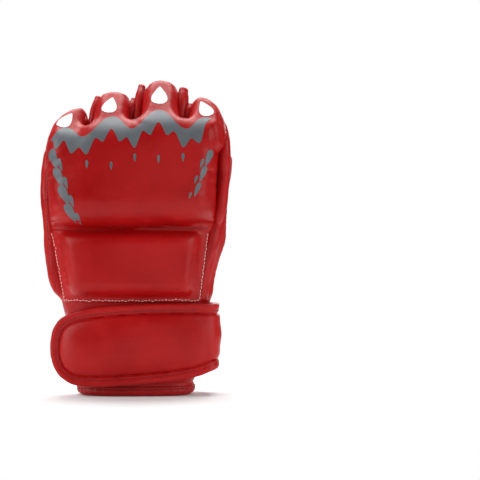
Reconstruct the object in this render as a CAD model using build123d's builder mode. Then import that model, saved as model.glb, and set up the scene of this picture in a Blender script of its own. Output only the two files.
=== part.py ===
from build123d import *

# Half-finger martial arts glove for the left hand, standing on its cuff with the fingers up.
# +Z points to the fingertips, -Y is the back of the hand and +X is the thumb side.
# The glove is sewn from leather-like sheet over foam: a cuff with a wrap-round strap, a lower pad
# and a knuckle pad on the back of the hand, four padded finger flaps with bands under them, an open
# palm with a grip bar, and a thumb sleeve. All lengths are in millimetres.

import os
from math import copysign, cos, radians, sin

# ---------------------------------------------------------------- driving dimensions

# Outside of the hand and cuff wall: height, left edge, right edge, depth to the back, depth to the palm.
HAND_STATIONS = (
    (0, -45, 42, 26, 26),
    (35, -50, 48, 27, 27),
    (74, -59, 56, 28, 28),
    (100, -65, 60, 29, 28),
    (128, -70, 64, 30, 27),
    (165, -72, 67, 30, 25),
    (200, -69, 68, 29, 22),
)
# Outside of the knuckle pad and finger pads, in the same form.
DOME_STATIONS = (
    (124, -67, 60, 34, 20),
    (136, -69, 62, 45, 20),
    (152, -70, 64, 49, 20),
    (176, -70, 67, 51, 20),
    (196, -69, 68, 50, 20),
    (212, -66, 68, 42, 20),
    (226, -59, 64, 30, 20),
    (242, -50, 56, 16, 20),
)
OVAL_POWER = 2.6  # 2 is an ellipse, and larger is squarer
HAND_Y = -4.0  # middle of the wrist, so that the whole glove is centred on the origin
OVAL_POINTS = 12

SKIN = 1.2  # leather-like cover sheet
CUFF_WALL = 4.0
HAND_WALL = 2.4
LINING = 1.0
CUFF_TOP = 74.0
BINDING_HEIGHT = 6.0
SLIT_WIDTH = 16.0
SLIT_X = -14.0
SLIT_TOP = 66.0
ELASTIC_DEPTH = (1.4, 2.4)
LOOP_PATCH = (2.0, 41.0, 62.0, 36.0)
LOOP_CORNER = 4.0
LOOP_THICK = 1.5
SEAM_BACK_Y = -16.0
SEAM_PALM_Y = 6.0
PINKY_GUSSET_TOP = 172.0
THUMB_GUSSET_TOP = 172.0

LOWER_PAD = ((-50, 79), (40, 79), (52, 125), (-60, 125))
LOWER_PAD_THICK = 12.0
LOWER_PAD_CORNER = 6.0
KNUCKLE_PAD_LEFT = -65.0
KNUCKLE_PAD_RIGHT = 61.0
KNUCKLE_PAD_BOTTOM = 128.0
KNUCKLE_PAD_CORNER = 10.0

KNUCKLE_Y = -16.0
FLEX_AT_REST = 45.0
PAD_INNER_RADIUS = 19.0
PAD_OUTER_RADIUS = 36.0
KNUCKLE_PAD_ANGLE = 39.0
TIP_CORNER = 11.0
EDGE_ROUND = 5.0
# Name, middle of the flap in X, width of the flap, knuckle height, straight length of the flap.
FINGERS = (
    ("pinky", -52.8, 28.0, 177.0, 25.0),
    ("ring", -18.3, 27.0, 185.0, 29.0),
    ("middle", 18.2, 29.0, 190.0, 36.0),
    ("index", 52.8, 28.0, 185.0, 22.0),
)
FINGER_SPLITS = (-35.6, 0.0, 35.5)

ROLL_RADIUS = 3.3
ROLL_BORE = 1.8
ROLL_START = 14.0
ROLL_END = 40.0
ROLL_DEPTH = 14.6
ROLL_SIDE = 13.6
BAND_START = 12.0
BAND_END = 33.0
BAND_WALL = 1.6
BAND_HALF_WIDTH = 13.0
BAND_DEPTH = 12.0

BAR_LEFT = (-60.0, 15.5, 152.0)
BAR_RIGHT = (34.0, 15.5, 163.0)
BAR_RADIUS = 5.5
PALM_HOLE = (-10.0, 112.0, 22.0, 26.0)
PALM_HOLE_EDGE = 4.0

THUMB_BASE = (44.0, 19.0, 104.0)
THUMB_DIRECTION = (0.11, 0.27, 0.957)
THUMB_RADIUS = 15.5
THUMB_TIP_RADIUS = 13.0
THUMB_WALL = 2.2
THUMB_RING_LENGTH = 14.0
THUMB_START = 17.5
THUMB_END = 86.0
THUMB_CLEARANCE = 6.5
THUMB_ROOM_REACH = 20.0
THUMB_PAD_THICK = 5.0
THUMB_PAD_START = 34.0
THUMB_PAD_END = 78.0
THUMB_PAD_WIDTH = 24.0
THUMB_PAD_FACING = (1, -0.25, 0)
THUMB_PAD_CORNER = 8.0
THUMB_HEM = 5.0
THUMB_HEM_THICK = 1.0

FLAP_OUTLINE = ((50, 17), (10, 9.5), (-66, 6.5), (-66, 61), (-5, 70.5), (50, 70.5))
FLAP_CORNERS = ((-66, 6.5, 26.0), (-66, 61, 23.0))
FLAP_RADIUS = 160.0
FLAP_MIDDLE_X = -5.0
FLAP_INNER_Y = -35.8
STRAP_SHEET = 2.0
STRAP_FOAM = 5.0
FOAM_MARGIN = 11.0
STRAP_BINDING = 1.0
STRAP_BINDING_WIDTH = 7.5
HOOK_THICK = 1.3
HOOK_ZONE = ((-46, -6), (26, 56))
WRAP_PATH = ((54.9, -26.0), (59.8, -24.2), (59.8, 29.6), (-30, 29.6))
WRAP_BENDS = (6.5, 20.0)
WRAP_LOW = 21.0
WRAP_HIGH = 70.5
ANCHOR_WIDTH = 16.0
ANCHOR_INSET = 8.0

FAR = 120.0  # reach of cutting blocks, past the outside of the glove
ALL = (-FAR, FAR)  # limits of a block in a direction it cuts right through
OVERCUT = 1.0  # a cutter runs this far past the ends of what it cuts

# ---------------------------------------------------------------- shared shapes


def oval(low, high, back, palm, inset):
    """Points round one section of the hand: a squared-off oval, deeper on one side if asked."""
    middle = (low + high) / 2
    half = (high - low) / 2 - inset
    points = []
    for i in range(OVAL_POINTS):
        angle = radians(360 * (i + 0.5) / OVAL_POINTS)
        depth = (palm if sin(angle) > 0 else back) - inset
        across = copysign(abs(cos(angle)) ** (2 / OVAL_POWER), cos(angle))
        along = copysign(abs(sin(angle)) ** (2 / OVAL_POWER), sin(angle))
        points.append((middle + half * across, HAND_Y + depth * along))
    return points


def envelope(stations, inset):
    """Solid lofted through the stations, drawn in by inset."""
    with BuildPart() as body:
        for height, low, high, back, palm in stations:
            with BuildSketch(Plane.XY.offset(height)):
                with BuildLine():
                    Spline(*oval(low, high, back, palm, inset), periodic=True)
                make_face()
        loft()
    return body.part


def block(x_range, y_range, z_range):
    """Plain block between the given limits."""
    ranges = (x_range, y_range, z_range)
    with BuildPart() as cutter:
        with Locations(tuple((low + high) / 2 for low, high in ranges)):
            Box(*[high - low for low, high in ranges])
    return cutter.part


os.makedirs("parts", exist_ok=True)
hand_outside = envelope(HAND_STATIONS, 0)
hand_inside = envelope(HAND_STATIONS, HAND_WALL)
hand_lining_inside = envelope(HAND_STATIONS, HAND_WALL + LINING)
cuff_inside = envelope(HAND_STATIONS, CUFF_WALL)
cuff_lining_inside = envelope(HAND_STATIONS, CUFF_WALL + LINING)


def radial(angle):
    """Unit vector in the YZ plane, from straight out of the back at 0 to straight up at 90."""
    return Vector(-cos(radians(angle)), sin(radians(angle)))


# Everything over the knuckles, which step from finger to finger.
column_edges = (-FAR, *FINGER_SPLITS, FAR)
with BuildPart() as knuckle_cut:
    for i, (_, _, _, height, _) in enumerate(FINGERS):
        add(block(column_edges[i : i + 2], ALL, (height, 2 * FAR)))

# Room for the fingers and their flaps: over a sloping line on the back, and round each knuckle.
with BuildPart() as flap_room:
    for i, (_, _, _, height, _) in enumerate(FINGERS):
        knuckle = Vector(KNUCKLE_Y, height)
        with BuildSketch(Plane.YZ.offset(column_edges[i])):
            with BuildLine():
                Polyline(
                    knuckle,
                    knuckle + radial(KNUCKLE_PAD_ANGLE) * FAR,
                    (-FAR, 3 * FAR),
                    (FAR, 3 * FAR),
                    (FAR, height),
                    close=True,
                )
            make_face()
            with Locations(knuckle):
                Circle(PAD_INNER_RADIUS)
        extrude(amount=column_edges[i + 1] - column_edges[i])

# ---------------------------------------------------------------- cuff

slit = block((SLIT_X - SLIT_WIDTH / 2, SLIT_X + SLIT_WIDTH / 2), (0, FAR), (BINDING_HEIGHT, SLIT_TOP))

with BuildPart() as cuff_shell:
    add(hand_outside)
    add(cuff_inside, mode=Mode.SUBTRACT)
    add(block(ALL, ALL, (SKIN, CUFF_TOP)), mode=Mode.INTERSECT)
    add(slit, mode=Mode.SUBTRACT)
cuff_shell.part.label = "cuff_shell"
export_step(cuff_shell.part, "parts/cuff_shell.step")

with BuildPart() as cuff_lining:
    add(cuff_inside)
    add(cuff_lining_inside, mode=Mode.SUBTRACT)
    add(block(ALL, ALL, (SKIN, CUFF_TOP)), mode=Mode.INTERSECT)
cuff_lining.part.label = "cuff_lining"
export_step(cuff_lining.part, "parts/cuff_lining.step")

with BuildPart() as cuff_elastic:
    add(envelope(HAND_STATIONS, ELASTIC_DEPTH[0]))
    add(envelope(HAND_STATIONS, ELASTIC_DEPTH[1]), mode=Mode.SUBTRACT)
    add(slit, mode=Mode.INTERSECT)
cuff_elastic.part.label = "cuff_elastic"
export_step(cuff_elastic.part, "parts/cuff_elastic.step")

# The binding folds round the bottom edge of the shell and its lining.
with BuildPart() as cuff_binding:
    add(envelope(HAND_STATIONS, -SKIN))
    add(block(ALL, ALL, (0, BINDING_HEIGHT)), mode=Mode.INTERSECT)
    add(envelope(HAND_STATIONS, CUFF_WALL + LINING + SKIN), mode=Mode.SUBTRACT)
    add(cuff_shell.part, mode=Mode.SUBTRACT)
    add(cuff_lining.part, mode=Mode.SUBTRACT)
cuff_binding.part.label = "cuff_binding"
export_step(cuff_binding.part, "parts/cuff_binding.step")

with BuildPart() as cuff_loop_patch:
    with BuildSketch(Plane.XZ):
        with Locations(LOOP_PATCH[:2]):
            RectangleRounded(*LOOP_PATCH[2:], LOOP_CORNER)
    extrude(amount=FAR)
    add(envelope(HAND_STATIONS, -LOOP_THICK), mode=Mode.INTERSECT)
    add(hand_outside, mode=Mode.SUBTRACT)
cuff_loop_patch.part.label = "cuff_loop_patch"
export_step(cuff_loop_patch.part, "parts/cuff_loop_patch.step")

# ---------------------------------------------------------------- hand walls

thumb_axis = Vector(*THUMB_DIRECTION).normalized()


def thumb_plane(along):
    """Plane across the thumb at a distance along it from its base."""
    return Plane(origin=Vector(*THUMB_BASE) + thumb_axis * along, x_dir=(1, 0, 0), z_dir=thumb_axis)


def thumb_cone(grow, start, end):
    """Solid round the thumb from start to end, which narrows to the tip and is grown by grow."""
    with BuildPart() as cone:
        for along in (start, end):
            taper = (THUMB_TIP_RADIUS - THUMB_RADIUS) * along / THUMB_END
            with BuildSketch(thumb_plane(along)):
                Circle(THUMB_RADIUS + taper + grow)
        loft()
    return cone.part


# Room for the thumb: tight round its base ring and loose round its sleeve.
with BuildPart() as thumb_room:
    add(thumb_cone(0, -THUMB_ROOM_REACH, THUMB_RING_LENGTH))
    add(thumb_cone(THUMB_CLEARANCE, THUMB_RING_LENGTH, THUMB_END + THUMB_ROOM_REACH))

back_zone = block(ALL, (-FAR, SEAM_BACK_Y), (CUFF_TOP, 2 * FAR))

with BuildPart() as backhand_panel:
    add(hand_outside)
    add(hand_inside, mode=Mode.SUBTRACT)
    add(back_zone, mode=Mode.INTERSECT)
    add(knuckle_cut.part, mode=Mode.SUBTRACT)
backhand_panel.part.label = "backhand_panel"
export_step(backhand_panel.part, "parts/backhand_panel.step")

with BuildPart() as backhand_lining:
    add(hand_inside)
    add(hand_lining_inside, mode=Mode.SUBTRACT)
    add(back_zone, mode=Mode.INTERSECT)
    add(knuckle_cut.part, mode=Mode.SUBTRACT)
backhand_lining.part.label = "backhand_lining"
export_step(backhand_lining.part, "parts/backhand_lining.step")

with BuildPart() as pinky_side_gusset:
    add(hand_outside)
    add(hand_inside, mode=Mode.SUBTRACT)
    add(
        block((-FAR, 0), (SEAM_BACK_Y, SEAM_PALM_Y), (CUFF_TOP, PINKY_GUSSET_TOP)),
        mode=Mode.INTERSECT,
    )
pinky_side_gusset.part.label = "pinky_side_gusset"
export_step(pinky_side_gusset.part, "parts/pinky_side_gusset.step")

with BuildPart() as thumb_side_gusset:
    add(hand_outside)
    add(hand_inside, mode=Mode.SUBTRACT)
    add(
        block((0, FAR), (SEAM_BACK_Y, SEAM_PALM_Y), (CUFF_TOP, THUMB_GUSSET_TOP)),
        mode=Mode.INTERSECT,
    )
    add(thumb_room.part, mode=Mode.SUBTRACT)
thumb_side_gusset.part.label = "thumb_side_gusset"
export_step(thumb_side_gusset.part, "parts/thumb_side_gusset.step")


def bar_height(x):
    """Height of the middle of the grip bar at x."""
    share = (x - BAR_LEFT[0]) / (BAR_RIGHT[0] - BAR_LEFT[0])
    return BAR_LEFT[2] + share * (BAR_RIGHT[2] - BAR_LEFT[2])


def palm_oval(grow):
    """Oval prism through the palm, grown by grow."""
    x, z, half_width, half_height = PALM_HOLE
    with BuildPart() as hole:
        with BuildSketch(Plane.XZ):
            with Locations((x, z)):
                Ellipse(half_width + grow, half_height + grow)
        extrude(amount=-FAR)
    return hole.part


# The palm stops under the grip bar, and has an open oval with a bound edge.
with BuildPart() as palm_panel:
    add(hand_outside)
    add(hand_inside, mode=Mode.SUBTRACT)
    add(block(ALL, (SEAM_PALM_Y, FAR), (CUFF_TOP, 2 * FAR)), mode=Mode.INTERSECT)
    add(thumb_room.part, mode=Mode.SUBTRACT)
    add(palm_oval(SKIN), mode=Mode.SUBTRACT)
    with BuildSketch(Plane.XZ):
        with BuildLine():
            Polyline(
                (-FAR, bar_height(-FAR) - BAR_RADIUS),
                (FAR, bar_height(FAR) - BAR_RADIUS),
                (FAR, 2 * FAR),
                (-FAR, 2 * FAR),
                close=True,
            )
        make_face()
    extrude(amount=-FAR, mode=Mode.SUBTRACT)
palm_panel.part.label = "palm_panel"
export_step(palm_panel.part, "parts/palm_panel.step")

with BuildPart() as palm_opening_binding:
    add(envelope(HAND_STATIONS, -SKIN))
    add(hand_lining_inside, mode=Mode.SUBTRACT)
    add(palm_oval(PALM_HOLE_EDGE), mode=Mode.INTERSECT)
    add(palm_oval(0), mode=Mode.SUBTRACT)
    add(palm_panel.part, mode=Mode.SUBTRACT)
palm_opening_binding.part.label = "palm_opening_binding"
export_step(palm_opening_binding.part, "parts/palm_opening_binding.step")

bar_run = Vector(*BAR_RIGHT) - Vector(*BAR_LEFT)
bar_plane = Plane(origin=BAR_LEFT, z_dir=bar_run)

with BuildPart() as grip_bar_core:
    with BuildSketch(bar_plane):
        Circle(BAR_RADIUS - SKIN)
    extrude(amount=bar_run.length)
grip_bar_core.part.label = "grip_bar_core"
export_step(grip_bar_core.part, "parts/grip_bar_core.step")

with BuildPart() as grip_bar_cover:
    with BuildSketch(bar_plane):
        Circle(BAR_RADIUS)
        Circle(BAR_RADIUS - SKIN, mode=Mode.SUBTRACT)
    extrude(amount=bar_run.length)
grip_bar_cover.part.label = "grip_bar_cover"
export_step(grip_bar_cover.part, "parts/grip_bar_cover.step")

# ---------------------------------------------------------------- pads on the back of the hand


def lower_pad(inset):
    """Lower pad: a rounded trapezium standing on the back of the hand."""
    with BuildPart() as pad:
        with BuildSketch(Plane.XZ) as outline:
            with BuildLine():
                Polyline(*LOWER_PAD, close=True)
            make_face()
            fillet(outline.vertices(), LOWER_PAD_CORNER)
            if inset:
                offset(amount=-inset, mode=Mode.REPLACE)
        extrude(amount=FAR)
        add(envelope(HAND_STATIONS, inset - LOWER_PAD_THICK), mode=Mode.INTERSECT)
        add(hand_outside, mode=Mode.SUBTRACT)
    return pad.part


def knuckle_pad(inset):
    """Knuckle pad, over the knuckles up to the sloping line where the finger flaps begin."""
    with BuildPart() as pad:
        with BuildSketch(Plane.XZ) as outline:
            with BuildLine():
                Polyline(
                    (KNUCKLE_PAD_LEFT, KNUCKLE_PAD_BOTTOM),
                    (KNUCKLE_PAD_RIGHT, KNUCKLE_PAD_BOTTOM),
                    (KNUCKLE_PAD_RIGHT, 2 * FAR),
                    (KNUCKLE_PAD_LEFT, 2 * FAR),
                    close=True,
                )
            make_face()
            fillet(outline.vertices().group_by(Axis.Y)[0], KNUCKLE_PAD_CORNER)
            if inset:
                offset(amount=-inset, mode=Mode.REPLACE)
        extrude(amount=FAR)
        add(envelope(DOME_STATIONS, inset), mode=Mode.INTERSECT)
        add(hand_outside, mode=Mode.SUBTRACT)
        add(flap_room.part, mode=Mode.SUBTRACT)
    return pad.part


with BuildPart() as lower_pad_foam:
    add(lower_pad(SKIN))
lower_pad_foam.part.label = "lower_pad_foam"
export_step(lower_pad_foam.part, "parts/lower_pad_foam.step")

with BuildPart() as lower_pad_cover:
    add(lower_pad(0))
    add(lower_pad_foam.part, mode=Mode.SUBTRACT)
lower_pad_cover.part.label = "lower_pad_cover"
export_step(lower_pad_cover.part, "parts/lower_pad_cover.step")

with BuildPart() as knuckle_pad_foam:
    add(knuckle_pad(SKIN))
knuckle_pad_foam.part.label = "knuckle_pad_foam"
export_step(knuckle_pad_foam.part, "parts/knuckle_pad_foam.step")

with BuildPart() as knuckle_pad_cover:
    add(knuckle_pad(0))
    add(knuckle_pad_foam.part, mode=Mode.SUBTRACT)
knuckle_pad_cover.part.label = "knuckle_pad_cover"
export_step(knuckle_pad_cover.part, "parts/knuckle_pad_cover.step")

# ---------------------------------------------------------------- fingers


def finger_section(middle, height, along):
    """Plane across a finger, with its local Y towards the back of the hand."""
    forward = radial(FLEX_AT_REST + 90)
    origin = (middle, KNUCKLE_Y + forward.X * along, height + forward.Y * along)
    return Plane(origin=origin, x_dir=(-1, 0, 0), z_dir=(0, forward.X, forward.Y))


def finger_pad(middle, width, height, length, inset):
    """Padded flap that runs straight on over the finger, with rounded corners and edges."""
    forward = radial(FLEX_AT_REST + 90)
    thickness = Axis((0, 0, 0), (0, -forward.Y, forward.X))
    depth = PAD_OUTER_RADIUS - inset - PAD_INNER_RADIUS
    with BuildPart() as pad:
        with BuildSketch(finger_section(middle, height, 0)):
            with Locations((0, PAD_INNER_RADIUS + depth / 2)):
                Rectangle(width - 2 * inset, depth)
        extrude(amount=length - inset)
        tip_corners = pad.edges().filter_by(thickness).group_by(Axis.Z)[-1]
        fillet(tip_corners, TIP_CORNER - inset)
        top = pad.faces().sort_by(thickness)[-1]
        fillet(top.edges().sort_by(Axis.Z)[1:], EDGE_ROUND - inset)
        add(envelope(DOME_STATIONS, inset), mode=Mode.INTERSECT)
    return pad.part


def roll(middle, height, side, radius):
    """Rod that runs beside a finger, under the edge of its pad."""
    with BuildPart() as rod:
        with BuildSketch(finger_section(middle, height, ROLL_START)):
            with Locations((-side * ROLL_SIDE, ROLL_DEPTH)):
                Circle(radius)
        extrude(amount=ROLL_END - ROLL_START)
    return rod.part


for name, middle, width, height, length in FINGERS:
    with BuildPart() as finger_foam:
        add(finger_pad(middle, width, height, length, SKIN))
    finger_foam.part.label = f"{name}_pad_foam"
    export_step(finger_foam.part, f"parts/{name}_pad_foam.step")

    with BuildPart() as finger_cover:
        add(finger_pad(middle, width, height, length, 0))
        add(finger_foam.part, mode=Mode.SUBTRACT)
    finger_cover.part.label = f"{name}_pad_cover"
    export_step(finger_cover.part, f"parts/{name}_pad_cover.step")

    # A soft band under the finger hangs from the two rolls beside it.
    with BuildPart() as finger_band:
        with BuildSketch(finger_section(middle, height, BAND_START)):
            with BuildLine():
                Line((BAND_HALF_WIDTH, ROLL_DEPTH), (BAND_HALF_WIDTH, 0))
                EllipticalCenterArc(
                    (0, 0), BAND_HALF_WIDTH, BAND_DEPTH, start_angle=180, arc_size=180
                )
                Line((-BAND_HALF_WIDTH, 0), (-BAND_HALF_WIDTH, ROLL_DEPTH))
            trace(line_width=BAND_WALL)
        extrude(amount=BAND_END - BAND_START)
        for side in (-1, 1):
            add(roll(middle, height, side, ROLL_RADIUS), mode=Mode.SUBTRACT)
    finger_band.part.label = f"{name}_finger_band"
    export_step(finger_band.part, f"parts/{name}_finger_band.step")

    for label, side in (("outer", -1), ("inner", 1)):
        with BuildPart() as finger_roll:
            add(roll(middle, height, side, ROLL_RADIUS))
            add(roll(middle, height, side, ROLL_BORE), mode=Mode.SUBTRACT)
        finger_roll.part.label = f"{name}_{label}_roll"
        export_step(finger_roll.part, f"parts/{name}_{label}_roll.step")

# ---------------------------------------------------------------- thumb

with BuildPart() as thumb_base_ring:
    add(thumb_cone(0, 0, THUMB_RING_LENGTH))
    add(thumb_cone(-THUMB_WALL, -OVERCUT, THUMB_RING_LENGTH + OVERCUT), mode=Mode.SUBTRACT)
thumb_base_ring.part.label = "thumb_base_ring"
export_step(thumb_base_ring.part, "parts/thumb_base_ring.step")

with BuildPart() as thumb_sleeve:
    add(thumb_cone(0, THUMB_START, THUMB_END))
    add(thumb_cone(-THUMB_WALL, THUMB_START - OVERCUT, THUMB_END + OVERCUT), mode=Mode.SUBTRACT)
thumb_sleeve.part.label = "thumb_sleeve"
export_step(thumb_sleeve.part, "parts/thumb_sleeve.step")

# The binding folds over the tip of the sleeve.
with BuildPart() as thumb_binding:
    add(thumb_cone(THUMB_HEM_THICK, THUMB_END - THUMB_HEM, THUMB_END + THUMB_HEM_THICK))
    add(thumb_cone(-THUMB_WALL - THUMB_HEM_THICK, 0, THUMB_END + THUMB_HEM), mode=Mode.SUBTRACT)
    add(thumb_sleeve.part, mode=Mode.SUBTRACT)
thumb_binding.part.label = "thumb_binding"
export_step(thumb_binding.part, "parts/thumb_binding.step")


def thumb_pad(inset):
    """Pad along the outer side of the thumb."""
    middle = Vector(*THUMB_BASE) + thumb_axis * ((THUMB_PAD_START + THUMB_PAD_END) / 2)
    length = THUMB_PAD_END - THUMB_PAD_START - 2 * inset
    with BuildPart() as pad:
        with BuildSketch(Plane(origin=middle, x_dir=thumb_axis, z_dir=THUMB_PAD_FACING)):
            RectangleRounded(length, THUMB_PAD_WIDTH - 2 * inset, THUMB_PAD_CORNER)
        extrude(amount=FAR)
        add(thumb_cone(THUMB_PAD_THICK - inset, THUMB_START, THUMB_END), mode=Mode.INTERSECT)
        add(thumb_cone(0, 0, THUMB_END + OVERCUT), mode=Mode.SUBTRACT)
    return pad.part


with BuildPart() as thumb_pad_foam:
    add(thumb_pad(SKIN))
thumb_pad_foam.part.label = "thumb_pad_foam"
export_step(thumb_pad_foam.part, "parts/thumb_pad_foam.step")

with BuildPart() as thumb_pad_cover:
    add(thumb_pad(0))
    add(thumb_pad_foam.part, mode=Mode.SUBTRACT)
thumb_pad_cover.part.label = "thumb_pad_cover"
export_step(thumb_pad_cover.part, "parts/thumb_pad_cover.step")

# ---------------------------------------------------------------- wrist strap


def flap_layer(inset, low, high):
    """Layer of the strap's flap between two depths outwards from its inner face."""
    with BuildPart() as layer:
        with BuildSketch(Plane.XZ) as outline:
            with BuildLine():
                Polyline(*FLAP_OUTLINE, close=True)
            make_face()
            for x, z, radius in FLAP_CORNERS:
                fillet(outline.vertices().sort_by_distance((x, z, 0))[0], radius)
            if inset:
                offset(amount=-inset, mode=Mode.REPLACE)
        extrude(amount=FAR)
        with BuildSketch():
            with Locations((FLAP_MIDDLE_X, FLAP_INNER_Y + FLAP_RADIUS)):
                Circle(FLAP_RADIUS + high)
                Circle(FLAP_RADIUS + low, mode=Mode.SUBTRACT)
        extrude(amount=FAR, mode=Mode.INTERSECT)
    return layer.part


strap_thick = STRAP_SHEET + SKIN
foam_top = STRAP_SHEET + STRAP_FOAM

with BuildPart() as strap_base:
    add(flap_layer(SKIN, 0, STRAP_SHEET))
strap_base.part.label = "strap_base"
export_step(strap_base.part, "parts/strap_base.step")

with BuildPart() as strap_foam:
    add(flap_layer(FOAM_MARGIN, STRAP_SHEET, foam_top))
strap_foam.part.label = "strap_foam"
export_step(strap_foam.part, "parts/strap_foam.step")

with BuildPart() as strap_cover:
    add(flap_layer(SKIN, STRAP_SHEET, strap_thick))
    add(flap_layer(FOAM_MARGIN - SKIN, STRAP_SHEET, foam_top + SKIN))
    add(strap_foam.part, mode=Mode.SUBTRACT)
strap_cover.part.label = "strap_cover"
export_step(strap_cover.part, "parts/strap_cover.step")

# The binding folds round the whole edge of the flap.
with BuildPart() as strap_binding:
    add(flap_layer(0, -STRAP_BINDING, strap_thick + STRAP_BINDING))
    add(flap_layer(STRAP_BINDING_WIDTH, -2 * strap_thick, 2 * strap_thick), mode=Mode.SUBTRACT)
    add(strap_base.part, mode=Mode.SUBTRACT)
    add(strap_cover.part, mode=Mode.SUBTRACT)
strap_binding.part.label = "strap_binding"
export_step(strap_binding.part, "parts/strap_binding.step")

with BuildPart() as strap_hook_patch:
    add(flap_layer(SKIN, -HOOK_THICK, 0))
    add(block(HOOK_ZONE[0], ALL, HOOK_ZONE[1]), mode=Mode.INTERSECT)
strap_hook_patch.part.label = "strap_hook_patch"
export_step(strap_hook_patch.part, "parts/strap_hook_patch.step")


def wrap(line_width, low, high):
    """Band that carries the strap round the thumb side of the wrist to the palm."""
    with BuildPart() as band:
        with BuildSketch(Plane.XY.offset(low)):
            with BuildLine():
                FilletPolyline(*WRAP_PATH, radius=WRAP_BENDS)
            trace(line_width=line_width)
        extrude(amount=high - low)
    return band.part


with BuildPart() as strap_wrap:
    add(wrap(strap_thick, WRAP_LOW + SKIN, WRAP_HIGH - SKIN))
strap_wrap.part.label = "strap_wrap"
export_step(strap_wrap.part, "parts/strap_wrap.step")

with BuildPart() as strap_wrap_binding:
    add(wrap(strap_thick + 2 * STRAP_BINDING, WRAP_LOW, WRAP_HIGH))
    add(
        wrap(
            strap_thick + 4 * STRAP_BINDING,
            WRAP_LOW + STRAP_BINDING_WIDTH,
            WRAP_HIGH - STRAP_BINDING_WIDTH,
        ),
        mode=Mode.SUBTRACT,
    )
    add(strap_wrap.part, mode=Mode.SUBTRACT)
strap_wrap_binding.part.label = "strap_wrap_binding"
export_step(strap_wrap_binding.part, "parts/strap_wrap_binding.step")

# The wrap is sewn to the palm side of the cuff at its far end.
anchor_x, anchor_y = WRAP_PATH[-1]
with BuildPart() as strap_anchor:
    add(
        block(
            (anchor_x, anchor_x + ANCHOR_WIDTH),
            (0, anchor_y - strap_thick / 2),
            (WRAP_LOW + ANCHOR_INSET, WRAP_HIGH - ANCHOR_INSET),
        )
    )
    add(hand_outside, mode=Mode.SUBTRACT)
strap_anchor.part.label = "strap_anchor"
export_step(strap_anchor.part, "parts/strap_anchor.step")
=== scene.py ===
from math import cos, hypot, pi, radians, sin, sqrt

import bpy
import numpy as np
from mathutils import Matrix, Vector, noise
from mathutils.geometry import delaunay_2d_cdt


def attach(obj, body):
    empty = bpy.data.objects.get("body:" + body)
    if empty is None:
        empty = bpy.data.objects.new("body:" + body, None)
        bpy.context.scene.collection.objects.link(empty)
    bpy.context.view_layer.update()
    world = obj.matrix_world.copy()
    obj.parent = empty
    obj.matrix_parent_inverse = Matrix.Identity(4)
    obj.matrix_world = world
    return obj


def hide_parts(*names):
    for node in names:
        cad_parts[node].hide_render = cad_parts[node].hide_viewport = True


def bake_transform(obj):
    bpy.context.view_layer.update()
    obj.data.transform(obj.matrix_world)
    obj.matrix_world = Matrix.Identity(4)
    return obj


# Looks of the half-finger glove. Lengths are in millimetres until a mesh is made, and the frame is the
# CAD one: +Z to the fingertips, -Y out of the back of the hand, +X towards the thumb.

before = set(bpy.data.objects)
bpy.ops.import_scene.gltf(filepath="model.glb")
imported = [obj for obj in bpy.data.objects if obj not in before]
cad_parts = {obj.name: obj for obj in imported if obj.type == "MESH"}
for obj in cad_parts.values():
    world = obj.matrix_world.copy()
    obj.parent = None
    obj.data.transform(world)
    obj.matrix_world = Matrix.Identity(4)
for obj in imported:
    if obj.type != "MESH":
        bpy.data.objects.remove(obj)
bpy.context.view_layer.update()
MM = 0.001

# ---------------------------------------------------------------- sizes

# Outside of the hand: height, left edge, right edge, depth to the back, depth to the palm.
HAND_STATIONS = np.array([
    (0, -45, 42, 26, 26), (35, -50, 48, 27, 27), (74, -59, 56, 28, 28), (100, -65, 60, 29, 28),
    (128, -70, 64, 30, 27), (165, -72, 67, 30, 25), (200, -69, 68, 29, 22), (230, -66, 68, 27, 19),
], float)
OVAL_POWER = 2.6
HAND_Y = -4.0

KNUCKLE_Y = -16.0
PAD_BOTTOM = 127.7
PAD_INNER = 19.0  # radius of the pad's underside past its bend
ARC_RADIUS = 30.0  # radius at which distance along the pad is measured round the knuckles
FLEX = radians(45)
# Name, middle of the flap, half its width, knuckle height, length past the bend.
FINGERS = (
    ("pinky", -53.4, 13.6, 177.0, 25.5),
    ("ring", -18.4, 13.9, 185.0, 30.0),
    ("middle", 18.4, 14.4, 190.0, 37.0),
    ("index", 52.2, 13.8, 185.0, 23.5),
)
FINGER_HEIGHTS = {name: height for name, _, _, height, _ in FINGERS}
FLAP_SPLITS = (-80, -36.5, -1.0, 35.9, 80)  # x of the notches between the flaps
ROOT_EDGE = 7.0  # distance past the bend at which the flaps part from the pad
LAST_FLEX_LENGTH = 14.0  # length of the flap's turn from the hand to the finger; no bend is made with it

WALL_LOW = 72.0  # height at which the walls of the hand meet the cuff
PALM_Y = 7.0  # depth of the seams between the side gussets and the palm


# ---------------------------------------------------------------- small tools


def smooth(t):
    """Smooth step from 0 to 1."""
    t = np.clip(t, 0, 1)
    return t * t * (3 - 2 * t)


def round_edge(t):
    """Quarter-round profile: 0 at the edge, 1 one radius in."""
    t = np.clip(t, 0, 1)
    return np.sqrt(1 - (1 - t) ** 2)


def cubic(x, xs, ys):
    """Smooth curve through the points (xs, ys), by cubic pieces."""
    x = np.clip(x, xs[0], xs[-1])
    slopes = np.gradient(ys, xs)
    i = np.clip(np.searchsorted(xs, x, side="right") - 1, 0, len(xs) - 2)
    width = xs[i + 1] - xs[i]
    t = (x - xs[i]) / width
    a, b, c, d = ys[i], ys[i + 1], slopes[i] * width, slopes[i + 1] * width
    level = (2 * t**3 - 3 * t**2 + 1) * a + (3 * t**2 - 2 * t**3) * b
    return level + (t**3 - 2 * t**2 + t) * c + (t**3 - t**2) * d


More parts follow.
